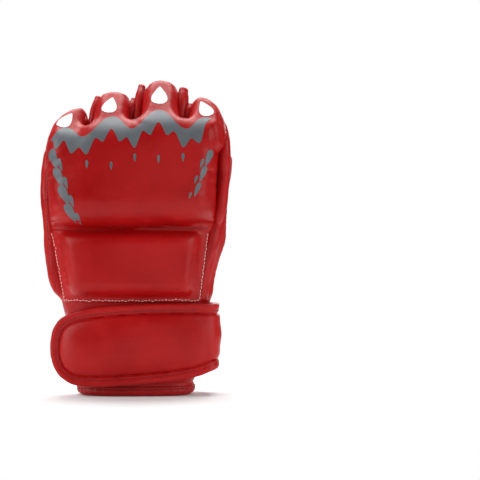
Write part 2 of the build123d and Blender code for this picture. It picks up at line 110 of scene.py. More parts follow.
def bumps(points, scale, seed):
    """Smooth noise from -1 to 1 at each point, with features about scale millimetres wide."""
    points = np.asarray(points, float)
    if points.shape[1] == 2:
        points = np.c_[points, np.zeros(len(points))]
    return np.array([noise.noise(Vector(p / scale) + Vector((seed * 7.3, seed * 3.1, seed))) for p in points])


def shares(rows, columns, closed=False):
    """Share from 0 to 1 down and across a grid; a closed grid's last column stops short of 1."""
    down = np.linspace(0, 1, rows)[:, None] * np.ones((1, columns))
    across = np.ones((rows, 1)) * np.linspace(0, 1, columns, endpoint=not closed)[None]
    return down, across


def gauss(offset, width):
    """Bell curve of height 1."""
    return np.exp(-((offset / width) ** 2))


def unit(vector):
    """Vector of length 1."""
    return np.asarray(vector, float) / np.linalg.norm(vector)


def hand_station(z):
    """Left and right edge and depth to the back and the palm at height z."""
    return [cubic(z, HAND_STATIONS[:, 0], HAND_STATIONS[:, i]) for i in range(1, 5)]


def hand_point(angle, z, grow=0.0):
    """Point on the outside of the hand: angle 0 is the thumb side, and a quarter turn is the palm."""
    angle, z, grow = np.broadcast_arrays(*[np.asarray(v, float) for v in (angle, z, grow)])
    low, high, back, palm = hand_station(z)
    c, s = np.cos(angle), np.sin(angle)
    depth = np.where(s > 0, palm, back) + grow
    x = (low + high) / 2 + ((high - low) / 2 + grow) * np.sign(c) * np.abs(c) ** (2 / OVAL_POWER)
    y = HAND_Y + depth * np.sign(s) * np.abs(s) ** (2 / OVAL_POWER)
    return np.stack([x, y, z], -1)


def hand_y(x, z, side):
    """Y of the outside of the hand at x and z: side -1 is the back, and 1 the palm."""
    low, high, back, palm = hand_station(z)
    u = np.clip(np.abs((x - (low + high) / 2) / ((high - low) / 2)), 0, 0.999)
    return HAND_Y + side * (palm if side > 0 else back) * (1 - u**OVAL_POWER) ** (1 / OVAL_POWER)


# ---------------------------------------------------------------- meshes


def piece(name, points, faces, material, normals=None, flat=False):
    """Mesh object from points in millimetres."""
    mesh = bpy.data.meshes.new(name)
    mesh.from_pydata((np.asarray(points, float) * MM).tolist(), [], [list(map(int, f)) for f in faces])
    mesh.polygons.foreach_set("use_smooth", [not flat] * len(mesh.polygons))
    mesh.materials.append(material)
    mesh.update()
    if normals is not None:
        mesh.normals_split_custom_set_from_vertices(np.asarray(normals).tolist())
    obj = bpy.data.objects.new(name, mesh)
    bpy.context.scene.collection.objects.link(obj)
    return obj


def grid_faces(rows, columns, wrap=False, start=0, flip=False):
    """Quads over a grid of rows by columns points, joined round each row if wrap."""
    faces = []
    for r in range(rows - 1):
        for c in range(columns if wrap else columns - 1):
            d = (c + 1) % columns
            here, below = start + r * columns, start + (r + 1) * columns
            quad = [here + c, here + d, below + d, below + c]
            faces.append(quad[::-1] if flip else quad)
    return faces


def shell(name, outer, inner, material, wrap=False, flip=False):
    """Closed sheet between two grids of points, with its rims joined."""
    rows, columns = outer.shape[:2]
    count = rows * columns
    faces = grid_faces(rows, columns, wrap, 0, flip) + grid_faces(rows, columns, wrap, count, not flip)
    rims = [[c for c in range(columns)], [(rows - 1) * columns + c for c in range(columns)][::-1]]
    if wrap:
        rims = [rim + rim[:1] for rim in rims]
    else:
        around = rims[0] + [r * columns + columns - 1 for r in range(1, rows)]
        rims = [around + rims[1][1:] + [r * columns for r in range(rows - 2, -1, -1)]]
    for rim in rims:
        for a, b in zip(rim, rim[1:]):
            quad = [a, a + count, b + count, b]
            faces.append(quad[::-1] if flip else quad)
    return piece(name, np.concatenate([outer.reshape(-1, 3), inner.reshape(-1, 3)]), faces, material)


def hoop(name, sections, material, flip=False):
    """Closed ring from a grid of points: one closed section in each row."""
    rows, columns = sections.shape[:2]
    faces = grid_faces(rows, columns, True)
    last = (rows - 1) * columns
    for j in range(columns):
        k = (j + 1) % columns
        faces.append([last + j, last + k, k, j])
    if flip:
        faces = [f[::-1] for f in faces]
    return piece(name, sections.reshape(-1, 3), faces, material)


def frames(path, first=None):
    """Tangent, side and up vectors along a path, turning as little as they can."""
    path = np.asarray(path, float)
    tangents = np.gradient(path, axis=0)
    tangents /= np.linalg.norm(tangents, axis=1)[:, None]
    side = np.array(first if first is not None else (0, 0, 1), float)
    sides = []
    for t in tangents:
        side = side - t * side.dot(t)
        side = side / np.linalg.norm(side)
        sides.append(side)
    sides = np.array(sides)
    return tangents, sides, np.cross(tangents, sides)


def circles(path, segments, squash=1.0, first=None):
    """Directions of unit circles square to a path, one row for each of its points."""
    _, sides, ups = frames(path, first)
    angles = np.linspace(0, 2 * pi, segments, endpoint=False)
    across, along = np.cos(angles)[None, :, None], np.sin(angles)[None, :, None]
    return across * sides[:, None] + squash * along * ups[:, None]


def tube(name, path, radii, material, segments, squash=1.0, first=None):
    """Tube along a path, with a radius at each point and flat ends."""
    path, radii = np.asarray(path, float), np.broadcast_to(np.asarray(radii, float), len(path))
    points = (path[:, None] + radii[:, None, None] * circles(path, segments, squash, first)).reshape(-1, 3)
    faces = grid_faces(len(path), segments, wrap=True)
    faces.append(list(range(segments))[::-1])
    faces.append([(len(path) - 1) * segments + i for i in range(segments)])
    return piece(name, points, faces, material)


def distances(path):
    """Distance along a path to each of its points."""
    return np.r_[0, np.cumsum(np.linalg.norm(np.diff(path, axis=0), axis=1))]


def even_path(points, step, closed=False):
    """Points every step or so along a polyline."""
    points = np.asarray(points, float)
    if closed:
        points = np.vstack([points, points[:1]])
    lengths = distances(points)
    count = max(int(round(lengths[-1] / step)), 3)
    at = np.linspace(0, lengths[-1], count + 1)
    out = np.stack([np.interp(at, lengths, points[:, i]) for i in range(points.shape[1])], 1)
    return out[:-1] if closed else out


def soften(points, passes, closed=True):
    """Rounds the corners of an evenly spaced path."""
    points = np.array(points, float)
    for _ in range(passes):
        if closed:
            points = (np.roll(points, 1, 0) + 2 * points + np.roll(points, -1, 0)) / 4
        else:
            points[1:-1] = (points[:-2] + 2 * points[1:-1] + points[2:]) / 4
    return points


def edge_distance(points, outline):
    """Distance from each point to a closed outline in the plane."""
    points, a = np.asarray(points, float), np.asarray(outline, float)
    b = np.roll(a, -1, 0)
    run = b - a
    best = np.full(len(points), np.inf)
    for start, along in zip(a, run):
        rel = points - start
        t = np.clip(rel @ along / max(along @ along, 1e-12), 0, 1)
        best = np.minimum(best, np.linalg.norm(rel - t[:, None] * along, axis=1))
    return best


def inside(points, outline):
    """Whether each point is inside a closed outline in the plane."""
    x, y = np.asarray(points, float).T
    hit = np.zeros(len(x), bool)
    for (ax, ay), (bx, by) in zip(outline, np.roll(outline, -1, 0)):
        crosses = (ay > y) != (by > y)
        with np.errstate(divide="ignore", invalid="ignore"):
            hit ^= crosses & (x < (bx - ax) * (y - ay) / (by - ay) + ax)
    return hit


SAME_POINT = 1e-6  # points closer than this are joined
ON_EDGE = 1e-3  # points closer than this to an outline lie on it


def fill(outline, step, rings=(), hole=None):
    """Triangles over a closed outline: its points, rings drawn in from it, and a grid inside them."""
    outline = np.asarray(outline, float)
    sign = 1 if np.cross(outline, np.roll(outline, -1, 0)).sum() > 0 else -1
    along = np.roll(outline, -1, 0) - np.roll(outline, 1, 0)
    inward = sign * np.stack([-along[:, 1], along[:, 0]], 1)
    inward /= np.linalg.norm(inward, axis=1)[:, None]
    chosen = [outline]
    for d in rings:
        ring = outline + inward * d
        keep = inside(ring, outline) & (edge_distance(ring, outline) > 0.92 * d)
        chosen.append(ring[keep])
    reach = (rings[-1] if len(rings) else 0) + 0.55 * step
    low, high = outline.min(0), outline.max(0)
    xs = np.arange(low[0], high[0] + step, step)
    ys = np.arange(low[1], high[1] + step, step * sqrt(3) / 2)
    grid = np.array([(x + (0.5 * step if j % 2 else 0), y) for j, y in enumerate(ys) for x in xs])
    grid = grid[inside(grid, outline)]
    grid = grid[edge_distance(grid, outline) > reach]
    points = np.vstack(chosen + [grid])
    count = len(outline)
    edges = [(i, (i + 1) % count) for i in range(count)]
    if hole is not None:
        points = points[~inside(points, hole) & (edge_distance(points, hole) > 0.5 * step)]
        edges += [(len(points) + i, len(points) + (i + 1) % len(hole)) for i in range(len(hole))]
        points = np.vstack([points, hole])
    coords, _, faces, *_ = delaunay_2d_cdt([Vector(p) for p in points], edges, [], 0, SAME_POINT)
    coords = np.array([tuple(c) for c in coords])
    middles = np.array([coords[list(f)].mean(0) for f in faces])
    keep = inside(middles, outline)
    if hole is not None:
        keep &= ~inside(middles, hole)
    faces = [list(f) for f, k in zip(faces, keep) if k]
    return coords, faces


def cushion(outline, step, rings, top, bottom, hole=None):
    """Closed pad over an outline: top and bottom give a point for each (point, edge distance)."""
    flat, faces = fill(outline, step, rings, hole)
    distance = edge_distance(flat, outline)
    if hole is not None:
        distance = np.minimum(distance, edge_distance(flat, hole))
    rim = distance < ON_EDGE
    faces = [f for f in faces if not rim[f].all()]  # slivers along the rim have no thickness
    upper, lower = top(flat, distance), bottom(flat, distance)
    lower_index = np.arange(len(flat))
    lower_index[~rim] = len(flat) + np.arange((~rim).sum())
    points = np.vstack([upper, lower[~rim]])
    under = [[lower_index[v] for v in f[::-1]] for f in faces]
    places = np.vstack([flat, flat[~rim]])
    return points, faces + under, places


def filled(name, outline, step, rings, top, bottom, material, hole=None):
    """Piece made of one cushion."""
    points, faces, _ = cushion(outline, step, rings, top, bottom, hole)
    return piece(name, points, faces, material)


def vertex_normals(points, faces):
    """Smooth normals of a mesh given as arrays."""
    points = np.asarray(points, float)
    normals = np.zeros_like(points)
    for f in faces:
        a, b, c = points[f[0]], points[f[1]], points[f[-1]]
        normals[list(f)] += np.cross(b - a, c - a)
    return normals / np.maximum(np.linalg.norm(normals, axis=1), 1e-9)[:, None]


def part_of(name, points, faces, normals, chosen, material):
    """Piece made of the chosen faces of a larger mesh, which keeps the larger one's shading."""
    used = sorted({v for f, c in zip(faces, chosen) if c for v in f})
    index = {v: i for i, v in enumerate(used)}
    kept = [[index[v] for v in f] for f, c in zip(faces, chosen) if c]
    return piece(name, points[used], kept, material, normals[used])


STITCH_SIDES = 8
STITCH_PROFILE = ((-1.0, 0.25), (-0.8, 0.8), (-0.3, 1.0), (0.3, 1.0), (0.8, 0.8), (1.0, 0.25))


def sew(name, body, slot, path, normals, pitch, length, radius, wobble, seed, material=None):
    """Row of sewn stitches along a path on a surface, which rides a body. Red thread unless told."""
    path, normals = np.asarray(path, float), np.asarray(normals, float)
    lengths = distances(path)
    angles = np.linspace(0, 2 * pi, STITCH_SIDES, endpoint=False)
    points, faces = [], []
    rng = np.random.default_rng(seed)

    def at_length(at, values):
        return np.array([np.interp(at, lengths, values[:, i]) for i in range(3)])

    for at in np.arange(pitch / 2, lengths[-1], pitch):
        place = at_length(at, path)
        step = at_length(min(at + 0.5, lengths[-1]), path) - at_length(max(at - 0.5, 0), path)
        up = at_length(at, normals)
        up /= np.linalg.norm(up)
        along = step / max(np.linalg.norm(step), 1e-9)
        across = np.cross(up, along)
        along = along + across * rng.normal(0, 0.06 + 0.1 * wobble)
        place = place + across * rng.normal(0, 0.05 + wobble * 0.25)
        start = len(points)
        for t, r in STITCH_PROFILE:
            dip = -0.45 * radius * t * t
            for a in angles:
                offset = across * cos(a) * radius * r + up * (sin(a) * radius * r * 0.8 + dip + 0.3 * radius)
                points.append(place + along * t * length / 2 + offset)
        faces += grid_faces(len(STITCH_PROFILE), STITCH_SIDES, True, start)
        last = start + (len(STITCH_PROFILE) - 1) * STITCH_SIDES
        faces.append([start + i for i in range(STITCH_SIDES)][::-1])
        faces.append([last + i for i in range(STITCH_SIDES)])
    settle(piece(name, points, faces, material or RED_THREAD), body, slot)


def settle(obj, body, slot, *nodes):
    """The piece rides a body and stands for the named CAD nodes, which it hides. The slot is not used."""
    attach(obj, body)
    if nodes:
        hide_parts(*nodes)


# ---------------------------------------------------------------- materials


def link(tree, source, target):
    """Wire from one socket to another."""
    tree.links.new(source, target)


def texture(tree, kind, coords, **values):
    """Texture node fed with the object's own coordinates."""
    node = tree.nodes.new(kind)
    for key, value in values.items():
        if key in node.inputs:
            node.inputs[key].default_value = value
        else:
            setattr(node, key, value)
    link(tree, coords, node.inputs["Vector"])
    return node


def spread(tree, value, low, high, from_low=0.0, from_high=1.0):
    """Value mapped from one range to another."""
    node = tree.nodes.new("ShaderNodeMapRange")
    link(tree, value, node.inputs["Value"])
    for key, number in zip(("From Min", "From Max", "To Min", "To Max"), (from_low, from_high, low, high)):
        node.inputs[key].default_value = number
    return node.outputs["Result"]


def bump(tree, height, strength, distance, normal=None):
    """Normal bent by a height, on top of another normal if given."""
    node = tree.nodes.new("ShaderNodeBump")
    node.inputs["Strength"].default_value = strength
    node.inputs["Distance"].default_value = distance
    link(tree, height, node.inputs["Height"])
    if normal is not None:
        link(tree, normal, node.inputs["Normal"])
    return node.outputs["Normal"]


def mixed(tree, factor, a, b):
    """Colour between a and b, each a colour or a socket."""
    node = tree.nodes.new("ShaderNodeMix")
    node.data_type = "RGBA"
    link(tree, factor, node.inputs["Factor"])
    for socket, colour in zip(node.inputs[6:8], (a, b)):  # the colour sockets of the node
        if isinstance(colour, bpy.types.NodeSocket):
            link(tree, colour, socket)
        else:
            socket.default_value = (*colour, 1)
    return node.outputs[2]


def blank(name):
    """New material with its node tree, shader and object coordinates."""
    material = bpy.data.materials.new(name)
    material.use_nodes = True
    tree = material.node_tree
    shader = tree.nodes["Principled BSDF"]
    coords = tree.nodes.new("ShaderNodeTexCoord").outputs["Object"]
    return material, tree, shader, coords


def srgb(*rgb):
    """Linear colour from 8-bit screen values."""
    return tuple(c / 12.92 / 255 if c <= 10 else ((c / 255 + 0.055) / 1.055) ** 2.4 for c in rgb)


def tinted(colour, factor, lift=0.0):
    """Colour made darker or paler."""
    return tuple(min(1.0, factor * c + lift) for c in colour)


def leather(name, colour, roughness=0.38, grain=0.35, softness=0.3):
    """Artificial leather: a fine pebble grain, soft unevenness, patchy gloss and paler worn edges."""
    material, tree, shader, coords = blank(name)
    patches = texture(tree, "ShaderNodeTexNoise", coords, Scale=28.0, Detail=4.0, Roughness=0.6)
    specks = texture(tree, "ShaderNodeTexNoise", coords, Scale=700.0, Detail=3.0, Roughness=0.7)
    cells = texture(tree, "ShaderNodeTexVoronoi", coords, Scale=1050.0, Randomness=1.0)
    dimples = texture(tree, "ShaderNodeTexNoise", coords, Scale=150.0, Detail=3.0, Roughness=0.55)
    dark = tinted(colour, 0.80)
    pale = tinted(colour, 1.12, 0.004)
    base = mixed(tree, spread(tree, patches.outputs["Fac"], 0, 1, 0.3, 0.7), dark, pale)
    creased = mixed(tree, spread(tree, cells.outputs["Distance"], 0.0, 0.35, 0.25, 0.75), base, dark)
    edges = tree.nodes.new("ShaderNodeNewGeometry").outputs["Pointiness"]
    worn = tinted(colour, 1.35, 0.03)
    rubbed = spread(tree, edges, 0, 0.25, 0.53, 0.62)
    link(tree, mixed(tree, rubbed, creased, worn), shader.inputs["Base Color"])
    link(tree, spread(tree, patches.outputs["Fac"], roughness - 0.06, roughness + 0.07, 0.3, 0.7),
         shader.inputs["Roughness"])
    fine = bump(tree, specks.outputs["Fac"], grain * 0.5, 0.0001)
    pebbled = bump(tree, cells.outputs["Distance"], grain, 0.00016, fine)
    link(tree, bump(tree, dimples.outputs["Fac"], softness, 0.0005, pebbled), shader.inputs["Normal"])
    shader.inputs["Specular IOR Level"].default_value = 0.21
    return material


def cloth(name, colour, pitch=0.9):
    """Knitted or woven cloth: two crossed rows of yarn, with fluff."""
    material, tree, shader, coords = blank(name)
    rows = []
    for direction in ("Z", "X"):
        wave = texture(tree, "ShaderNodeTexWave", coords, Scale=1000 / pitch / 6.3, Distortion=1.2,
                       Detail=1.0, bands_direction=direction)
        rows.append(wave.outputs["Fac"])
    fluff = texture(tree, "ShaderNodeTexNoise", coords, Scale=900.0, Detail=4.0, Roughness=0.7)
    yarn = tree.nodes.new("ShaderNodeMath")
    yarn.operation = "MULTIPLY"
    link(tree, rows[0], yarn.inputs[0])
    link(tree, rows[1], yarn.inputs[1])
    dark = tinted(colour, 0.55)
    pale = tinted(colour, 1.35, 0.004)
    woven = mixed(tree, yarn.outputs[0], dark, pale)
    link(tree, mixed(tree, spread(tree, fluff.outputs["Fac"], 0, 0.5, 0.35, 0.75), woven, pale),
         shader.inputs["Base Color"])
    fuzzy = bump(tree, fluff.outputs["Fac"], 0.5, 0.0002)
    link(tree, bump(tree, yarn.outputs[0], 0.7, 0.0003, fuzzy), shader.inputs["Normal"])
    shader.inputs["Roughness"].default_value = 0.85
    shader.inputs["Sheen Weight"].default_value = 0.3
    return material


def fuzz(name, colour, scale, depth):
    """Hook or loop tape: a dense mat of fibres."""
    material, tree, shader, coords = blank(name)
    mat = texture(tree, "ShaderNodeTexVoronoi", coords, Scale=scale, Randomness=1.0)
    hairs = texture(tree, "ShaderNodeTexNoise", coords, Scale=scale * 1.7, Detail=5.0, Roughness=0.75)
    dark = tinted(colour, 0.35)
    pale = tinted(colour, 1.8, 0.01)
    base = mixed(tree, spread(tree, mat.outputs["Distance"], 1, 0, 0.0, 0.8), dark, pale)
    link(tree, base, shader.inputs["Base Color"])
    rough = bump(tree, hairs.outputs["Fac"], 0.9, depth * 0.6)
    link(tree, bump(tree, mat.outputs["Distance"], 0.8, depth, rough), shader.inputs["Normal"])
    shader.inputs["Roughness"].default_value = 0.9
    shader.inputs["Sheen Weight"].default_value = 0.4
    return material


def thread(name, colour):
    """Twisted sewing thread."""
    material, tree, shader, coords = blank(name)
    twist = texture(tree, "ShaderNodeTexWave", coords, Scale=420.0, Distortion=0.6,
                    bands_direction="DIAGONAL")
    tint = mixed(tree, twist.outputs["Fac"], tinted(colour, 0.72), colour)
    link(tree, tint, shader.inputs["Base Color"])
    link(tree, bump(tree, twist.outputs["Fac"], 0.6, 0.0001), shader.inputs["Normal"])
    shader.inputs["Roughness"].default_value = 0.55
    return material


def ink(name, colour):
    """Printed ink over the leather's grain, a little darker in patches."""
    material, tree, shader, coords = blank(name)
    patches = texture(tree, "ShaderNodeTexNoise", coords, Scale=60.0, Detail=5.0, Roughness=0.65)
    cells = texture(tree, "ShaderNodeTexVoronoi", coords, Scale=1050.0, Randomness=1.0)
    tint = mixed(tree, spread(tree, patches.outputs["Fac"], 0, 1, 0.3, 0.7), tinted(colour, 0.86), colour)
    link(tree, tint, shader.inputs["Base Color"])
    link(tree, bump(tree, cells.outputs["Distance"], 0.3, 0.00014), shader.inputs["Normal"])
    link(tree, spread(tree, patches.outputs["Fac"], 0.42, 0.58, 0.3, 0.7), shader.inputs["Roughness"])
    return material


RED = leather("red_leather", srgb(168, 3, 4))
SOFT_RED = leather("red_soft_leather", srgb(172, 7, 9), roughness=0.36, grain=0.3, softness=0.5)
BINDING = leather("red_binding", srgb(164, 8, 10), roughness=0.42, grain=0.3, softness=0.45)
LINING = cloth("lining_cloth", srgb(52, 48, 50))
ELASTIC = cloth("ribbed_elastic", srgb(34, 32, 33), pitch=1.6)
LOOP = fuzz("loop_tape", srgb(40, 38, 40), 1500.0, 0.0004)
HOOK = fuzz("hook_tape", srgb(34, 33, 34), 700.0, 0.0006)
RED_THREAD = thread("red_thread", srgb(64, 5, 7))
WHITE_THREAD = thread("white_thread", srgb(238, 226, 222))
WHITE_INK = ink("white_ink", srgb(232, 230, 232))
GREY_INK = ink("grey_ink", srgb(94, 99, 104))

# ---------------------------------------------------------------- knuckle pad and finger flaps


def knuckle_height(x):
    """Height of the knuckle line, which rises to the middle finger."""
    return 177 + 8 * smooth((x + 45) / 14) + 5 * smooth((x + 7) / 12) - 5 * smooth((x - 31) / 12)


def bend_end(x):
    """Distance up the pad at which its bend over the knuckles ends."""
    return knuckle_height(x) - PAD_BOTTOM + ARC_RADIUS * FLEX


def pad_base(x, z):
    """Y of the base of the knuckle pad, which near the knuckles stays on the back at both sides."""
    back, limit = hand_y(x, z, -1), -10 - 16 * smooth((z - 138) / 40)
    return -np.log(np.exp(-0.4 * (back + 40)) + np.exp(-0.4 * (limit + 40))) / 0.4 - 40


def pad_place(flat, lift):
    """Point lift above the base of the knuckle pad, at x and at a distance s up the pad."""
    x, s = np.asarray(flat, float).T
    height = knuckle_height(x)
    straight = height - PAD_BOTTOM
    theta = np.clip((s - straight) / ARC_RADIUS, 0, FLEX)
    past = np.maximum(s - straight - ARC_RADIUS * FLEX, 0)
    z = PAD_BOTTOM + np.minimum(s, straight)
    at_knuckle = KNUCKLE_Y - pad_base(x, height)
    radius = at_knuckle + (PAD_INNER - at_knuckle) * smooth(theta / FLEX)
    low = s < straight
    y = np.where(low, pad_base(x, z) - lift, KNUCKLE_Y - np.cos(theta) * (radius + lift) + sin(FLEX) * past)
    z = np.where(low, z, height + np.sin(theta) * (radius + lift) + cos(FLEX) * past)
    lean = 0.22 * (x / 66) ** 3 * (1 - smooth(theta / FLEX))
    return np.stack([x + lean * lift, y, z], -1)


# Puckers at the pad's two side edges: distance up the pad and depth.
PINKY_PUCKERS = ((36, 3.4), (42.5, 2.4), (50, 3.6), (22, 1.4), (12, 1.2))
THUMB_PUCKERS = ((24, 1.4), (33, 2.0), (41, 2.8), (58, 2.2))
# Folds that set the thumb edge of the index flap apart: ends as x and distance up the pad, depth, width.
INDEX_GROOVES = (((61.0, 48), (57.5, 74), 2.6, 1.5), ((62.5, 56), (65.5, 100), 1.9, 1.2))


def pad_lift(flat, distance):
    """Height of the pad's cover over its base."""
    x, s = np.asarray(flat, float).T
    flap = smooth((s - bend_end(x) + 16) / 18)
    full = 20.5 + 1.3 * (1 - (x / 66) ** 2) + (17 - 21) * flap
    radius = 15.5 - 6.0 * flap
    crease = 2.5 + 6.0 * smooth((x + 20) / 80) - 3.3 * smooth((x + 66) / 127)
    over_crease = s - crease
    tuck = 0.25 * smooth(over_crease / 22) + 0.75 * round_edge(over_crease / 9.5)
    lift = full * round_edge(distance / radius) * tuck + 1.6 * round_edge(distance / 1.5) * (over_crease < 3)
    for place, depth in PINKY_PUCKERS:
        lift -= depth * gauss(s - place - 0.25 * (x + 66), 1.9) * np.exp(-distance / 7) * (x < 0)
    for place, depth in THUMB_PUCKERS:
        lift -= depth * gauss(s - place + 0.3 * (x - 62), 2.2) * np.exp(-distance / 8) * (x > 0)
    for (ax, a_s), (bx, b_s), depth, width in INDEX_GROOVES:
        run = np.array([bx - ax, b_s - a_s])
        t = np.clip(((x - ax) * run[0] + (s - a_s) * run[1]) / (run @ run), 0, 1)
        away = np.hypot(x - ax - t * run[0], s - a_s - t * run[1])
        ends = np.sin(pi * np.clip(t, 0.04, 0.96)) ** 0.5
        lift -= depth * gauss(away, width) * smooth(distance / 3) * ends
    puckers = bumps(flat, 7.0, 1) * np.exp(-distance / 6) * 0.9 * smooth(distance / 1.5)
    swell = bumps(flat, 26.0, 2) * 0.7 * smooth(distance / 10)
    return np.maximum(lift + puckers + swell, 0.0)


def past_bend(points):
    """Points given as x and distance past the bend, as x and distance up the pad."""
    return [(x, float(bend_end(x)) + rise) for x, rise in points]


def pad_outline():
    """Outline of the knuckle pad with its four flaps, as x and the distance s up the pad."""
    flaps = (
        (-68.5, -12), (-68.2, 2), (-65.5, 14), (-60, 23.5), (-52, 30), (-45, 32), (-39.6, 29),
        (-37.0, 21), (-37.5, 12), (-38.4, 6.5), (-36.5, 4.6), (-34.4, 7.5), (-34.0, 14), (-33.6, 26),
        (-30, 34.5), (-22, 38.2), (-12, 38), (-5.0, 33.5), (-3.2, 23), (-4.1, 12), (-4.2, 6), (-1.0, 2.6),
        (2.4, 6), (3.2, 13), (2.6, 28), (5.2, 37.5), (10.5, 42.4), (18.4, 44.6), (26.5, 42.4), (31.8, 37.5),
        (34.0, 28), (33.2, 13), (33.6, 6), (35.9, 2.8), (38.2, 6), (38.9, 13), (39.2, 23), (42.6, 30.5),
        (49, 33), (57, 30.8), (64, 23), (67.8, 11), (68.6, -3), (66.5, -15), (62.4, -24),
    )
    points = [(-62.5, 0.0), (-65.2, 2.0), (-66, 6), (-67, 25), (-68.2, 45)]
    points += past_bend(flaps)
    points += [(61.0, 42), (60.6, 20), (59.6, 2), (58.8, -1.5), (56.0, -3.3)]
    return soften(even_path(points, 1.5, closed=True), 3)


PAD_EDGE = pad_outline()
PAD_RINGS = (0.25, 0.9, 2.0, 3.5, 5.4)


def knuckle_pad():
    """The large pad and its four flaps, cut from one mesh so that they meet without a seam."""

    def top(flat, distance):
        return pad_place(flat, pad_lift(flat, distance))

    def bottom(flat, distance):
        x, s = flat.T
        flap = smooth((s - bend_end(x) + 16) / 18)
        return pad_place(flat, 0.4 - 1.8 * flap * round_edge(distance / 8))

    points, faces, places = cushion(PAD_EDGE, 1.9, PAD_RINGS, top, bottom)
    normals = vertex_normals(points, faces)
    past = places[:, 1] - bend_end(places[:, 0])
    reach = np.array([past[f].min() for f in faces])
    middle = np.array([places[f, 0].mean() for f in faces])
    root = part_of("knuckle_pad", points, faces, normals, reach < ROOT_EDGE, RED)
    settle(root, "hand", "red_leather", "knuckle_pad_cover", "knuckle_pad_foam")
    for (name, height), low, high in zip(FINGER_HEIGHTS.items(), FLAP_SPLITS, FLAP_SPLITS[1:]):
        chosen = (reach >= ROOT_EDGE) & (middle > low) & (middle <= high)
        flap = part_of(f"{name}_flap", points, faces, normals, chosen, RED)
        flex_with(flap, name, height)
        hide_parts(f"{name}_pad_cover", f"{name}_pad_foam")


def on_finger(height, x, along, depth):
    """Point at a distance along a finger from its knuckle, and depth towards the back of the hand."""
    along, depth = np.asarray(along, float), np.asarray(depth, float)
    x, along, depth = np.broadcast_arrays(x, along, depth)
    return np.stack([x, KNUCKLE_Y + sin(FLEX) * (along - depth), height + cos(FLEX) * (along + depth)], -1)


def flex_with(obj, name, height):
    """Bakes the piece's placement into its mesh; the piece is not attached to the hand or to the finger."""
    start, length = ROOT_EDGE, LAST_FLEX_LENGTH
    first, last = on_finger(height, 0, start, PAD_INNER), on_finger(height, 0, start + length, PAD_INNER)
    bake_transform(obj)


knuckle_pad()


def knuckle_seams():
    """Dark welt in the seam round the pad and its flaps, and the stitches across the pad's bottom."""
    x, s = PAD_EDGE.T
    on_flap = s - bend_end(x) >= ROOT_EDGE - 2
    runs = [("knuckle_pad_welt", ~on_flap, None)]
    for (name, height), low, high in zip(FINGER_HEIGHTS.items(), FLAP_SPLITS, FLAP_SPLITS[1:]):
        runs.append((f"{name}_flap_welt", on_flap & (x > low) & (x <= high), height))
    for name, chosen, height in runs:
        starts = np.nonzero(chosen & ~np.roll(chosen, 1))[0]
        for j, start in enumerate(starts):
            order = np.roll(np.arange(len(chosen)), -start)
            count = int(np.argmin(chosen[order]))
            if count < 5:
                continue
            places = pad_place(soften(PAD_EDGE[order[:count]], 2, closed=False), 0.1)
            label = name if len(starts) == 1 else f"{name}_{j}"
            welt = tube(label, places, 0.75, BINDING, 8, first=(0, -1, 0.2))
            if height is None:
                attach(welt, "hand")
            else:
                flex_with(welt, name.split("_")[0], height)
    x = np.linspace(-61.5, 54.5, 240)
    flat = np.stack([x, 1.9 - 1.6 * smooth((x + 20) / 80)], -1)
    lift = pad_lift(flat, edge_distance(flat, PAD_EDGE)) + 0.1
    outside = pad_place(flat, lift)
    away = outside - pad_place(flat, lift - 5)
    sew("knuckle_pad_stitches", "hand", "red_leather", outside, away, 2.9, 2.1, 0.3, 0.3, 21)


knuckle_seams()


def film(name, outline, lift, material):
    """Thin printed shape on the knuckle pad."""
    flat, faces = fill(even_path(outline, 1.2, closed=True), 1.7, ())
    distance = edge_distance(flat, PAD_EDGE)
    return piece(name, pad_place(flat, pad_lift(flat, distance) + lift), faces, material)


def leaf(x, base, width, length, lean):
    """Outline of a plain leaf, round at its base and pointed at the other end. It leans from straight up."""
    t = np.linspace(0, 1, 24)
    half = 0.5 * width * np.sin(pi * t**0.62) ** 0.75 * (1 - 0.25 * t)
    across, up = np.r_[half, -half[-2:0:-1]], np.r_[t, t[-2:0:-1]] * length
    turn = radians(lean)
    return list(zip(x + across * cos(turn) + up * sin(turn), base + up * cos(turn) - across * sin(turn)))


# White leaves on the flaps: finger, x, distance past the bend, width, length, lean in degrees.
LEAVES = (
    ("pinky", -57.5, 4.0, 12.0, 17, 30), ("ring", -21.5, 7.0, 12.5, 18, 10),
    ("middle", 17.6, 9.5, 13.5, 20, 0), ("index", 55.5, 4.5, 12.0, 17, -22),
)
FLAP_PITCH = 35.4  # distance between the middles of the flaps
BAND_ENDS = (-65.0, 58.0)
FLECK_DROP = 27.0  # how far under the bend the small flecks start


def zigzag_band():
    """Outline of a band that rises over each flap, with even teeth along its lower edge."""
    low_x, high_x = BAND_ENDS
    x = np.linspace(low_x, high_x, 124)
    rise = -np.cos(2 * pi * x / FLAP_PITCH)
    teeth = np.abs((3 * x / FLAP_PITCH) % 1.0 - 0.5) * 2
    top = -4.0 + 7.0 * rise
    low = top - (8.0 + 3.0 * rise + 8.0 * teeth) * smooth(np.minimum(x - low_x, high_x - x) / 9.0)
    return past_bend(zip(x, top)) + past_bend(zip(x[::-1], low[::-1]))[1:-1]


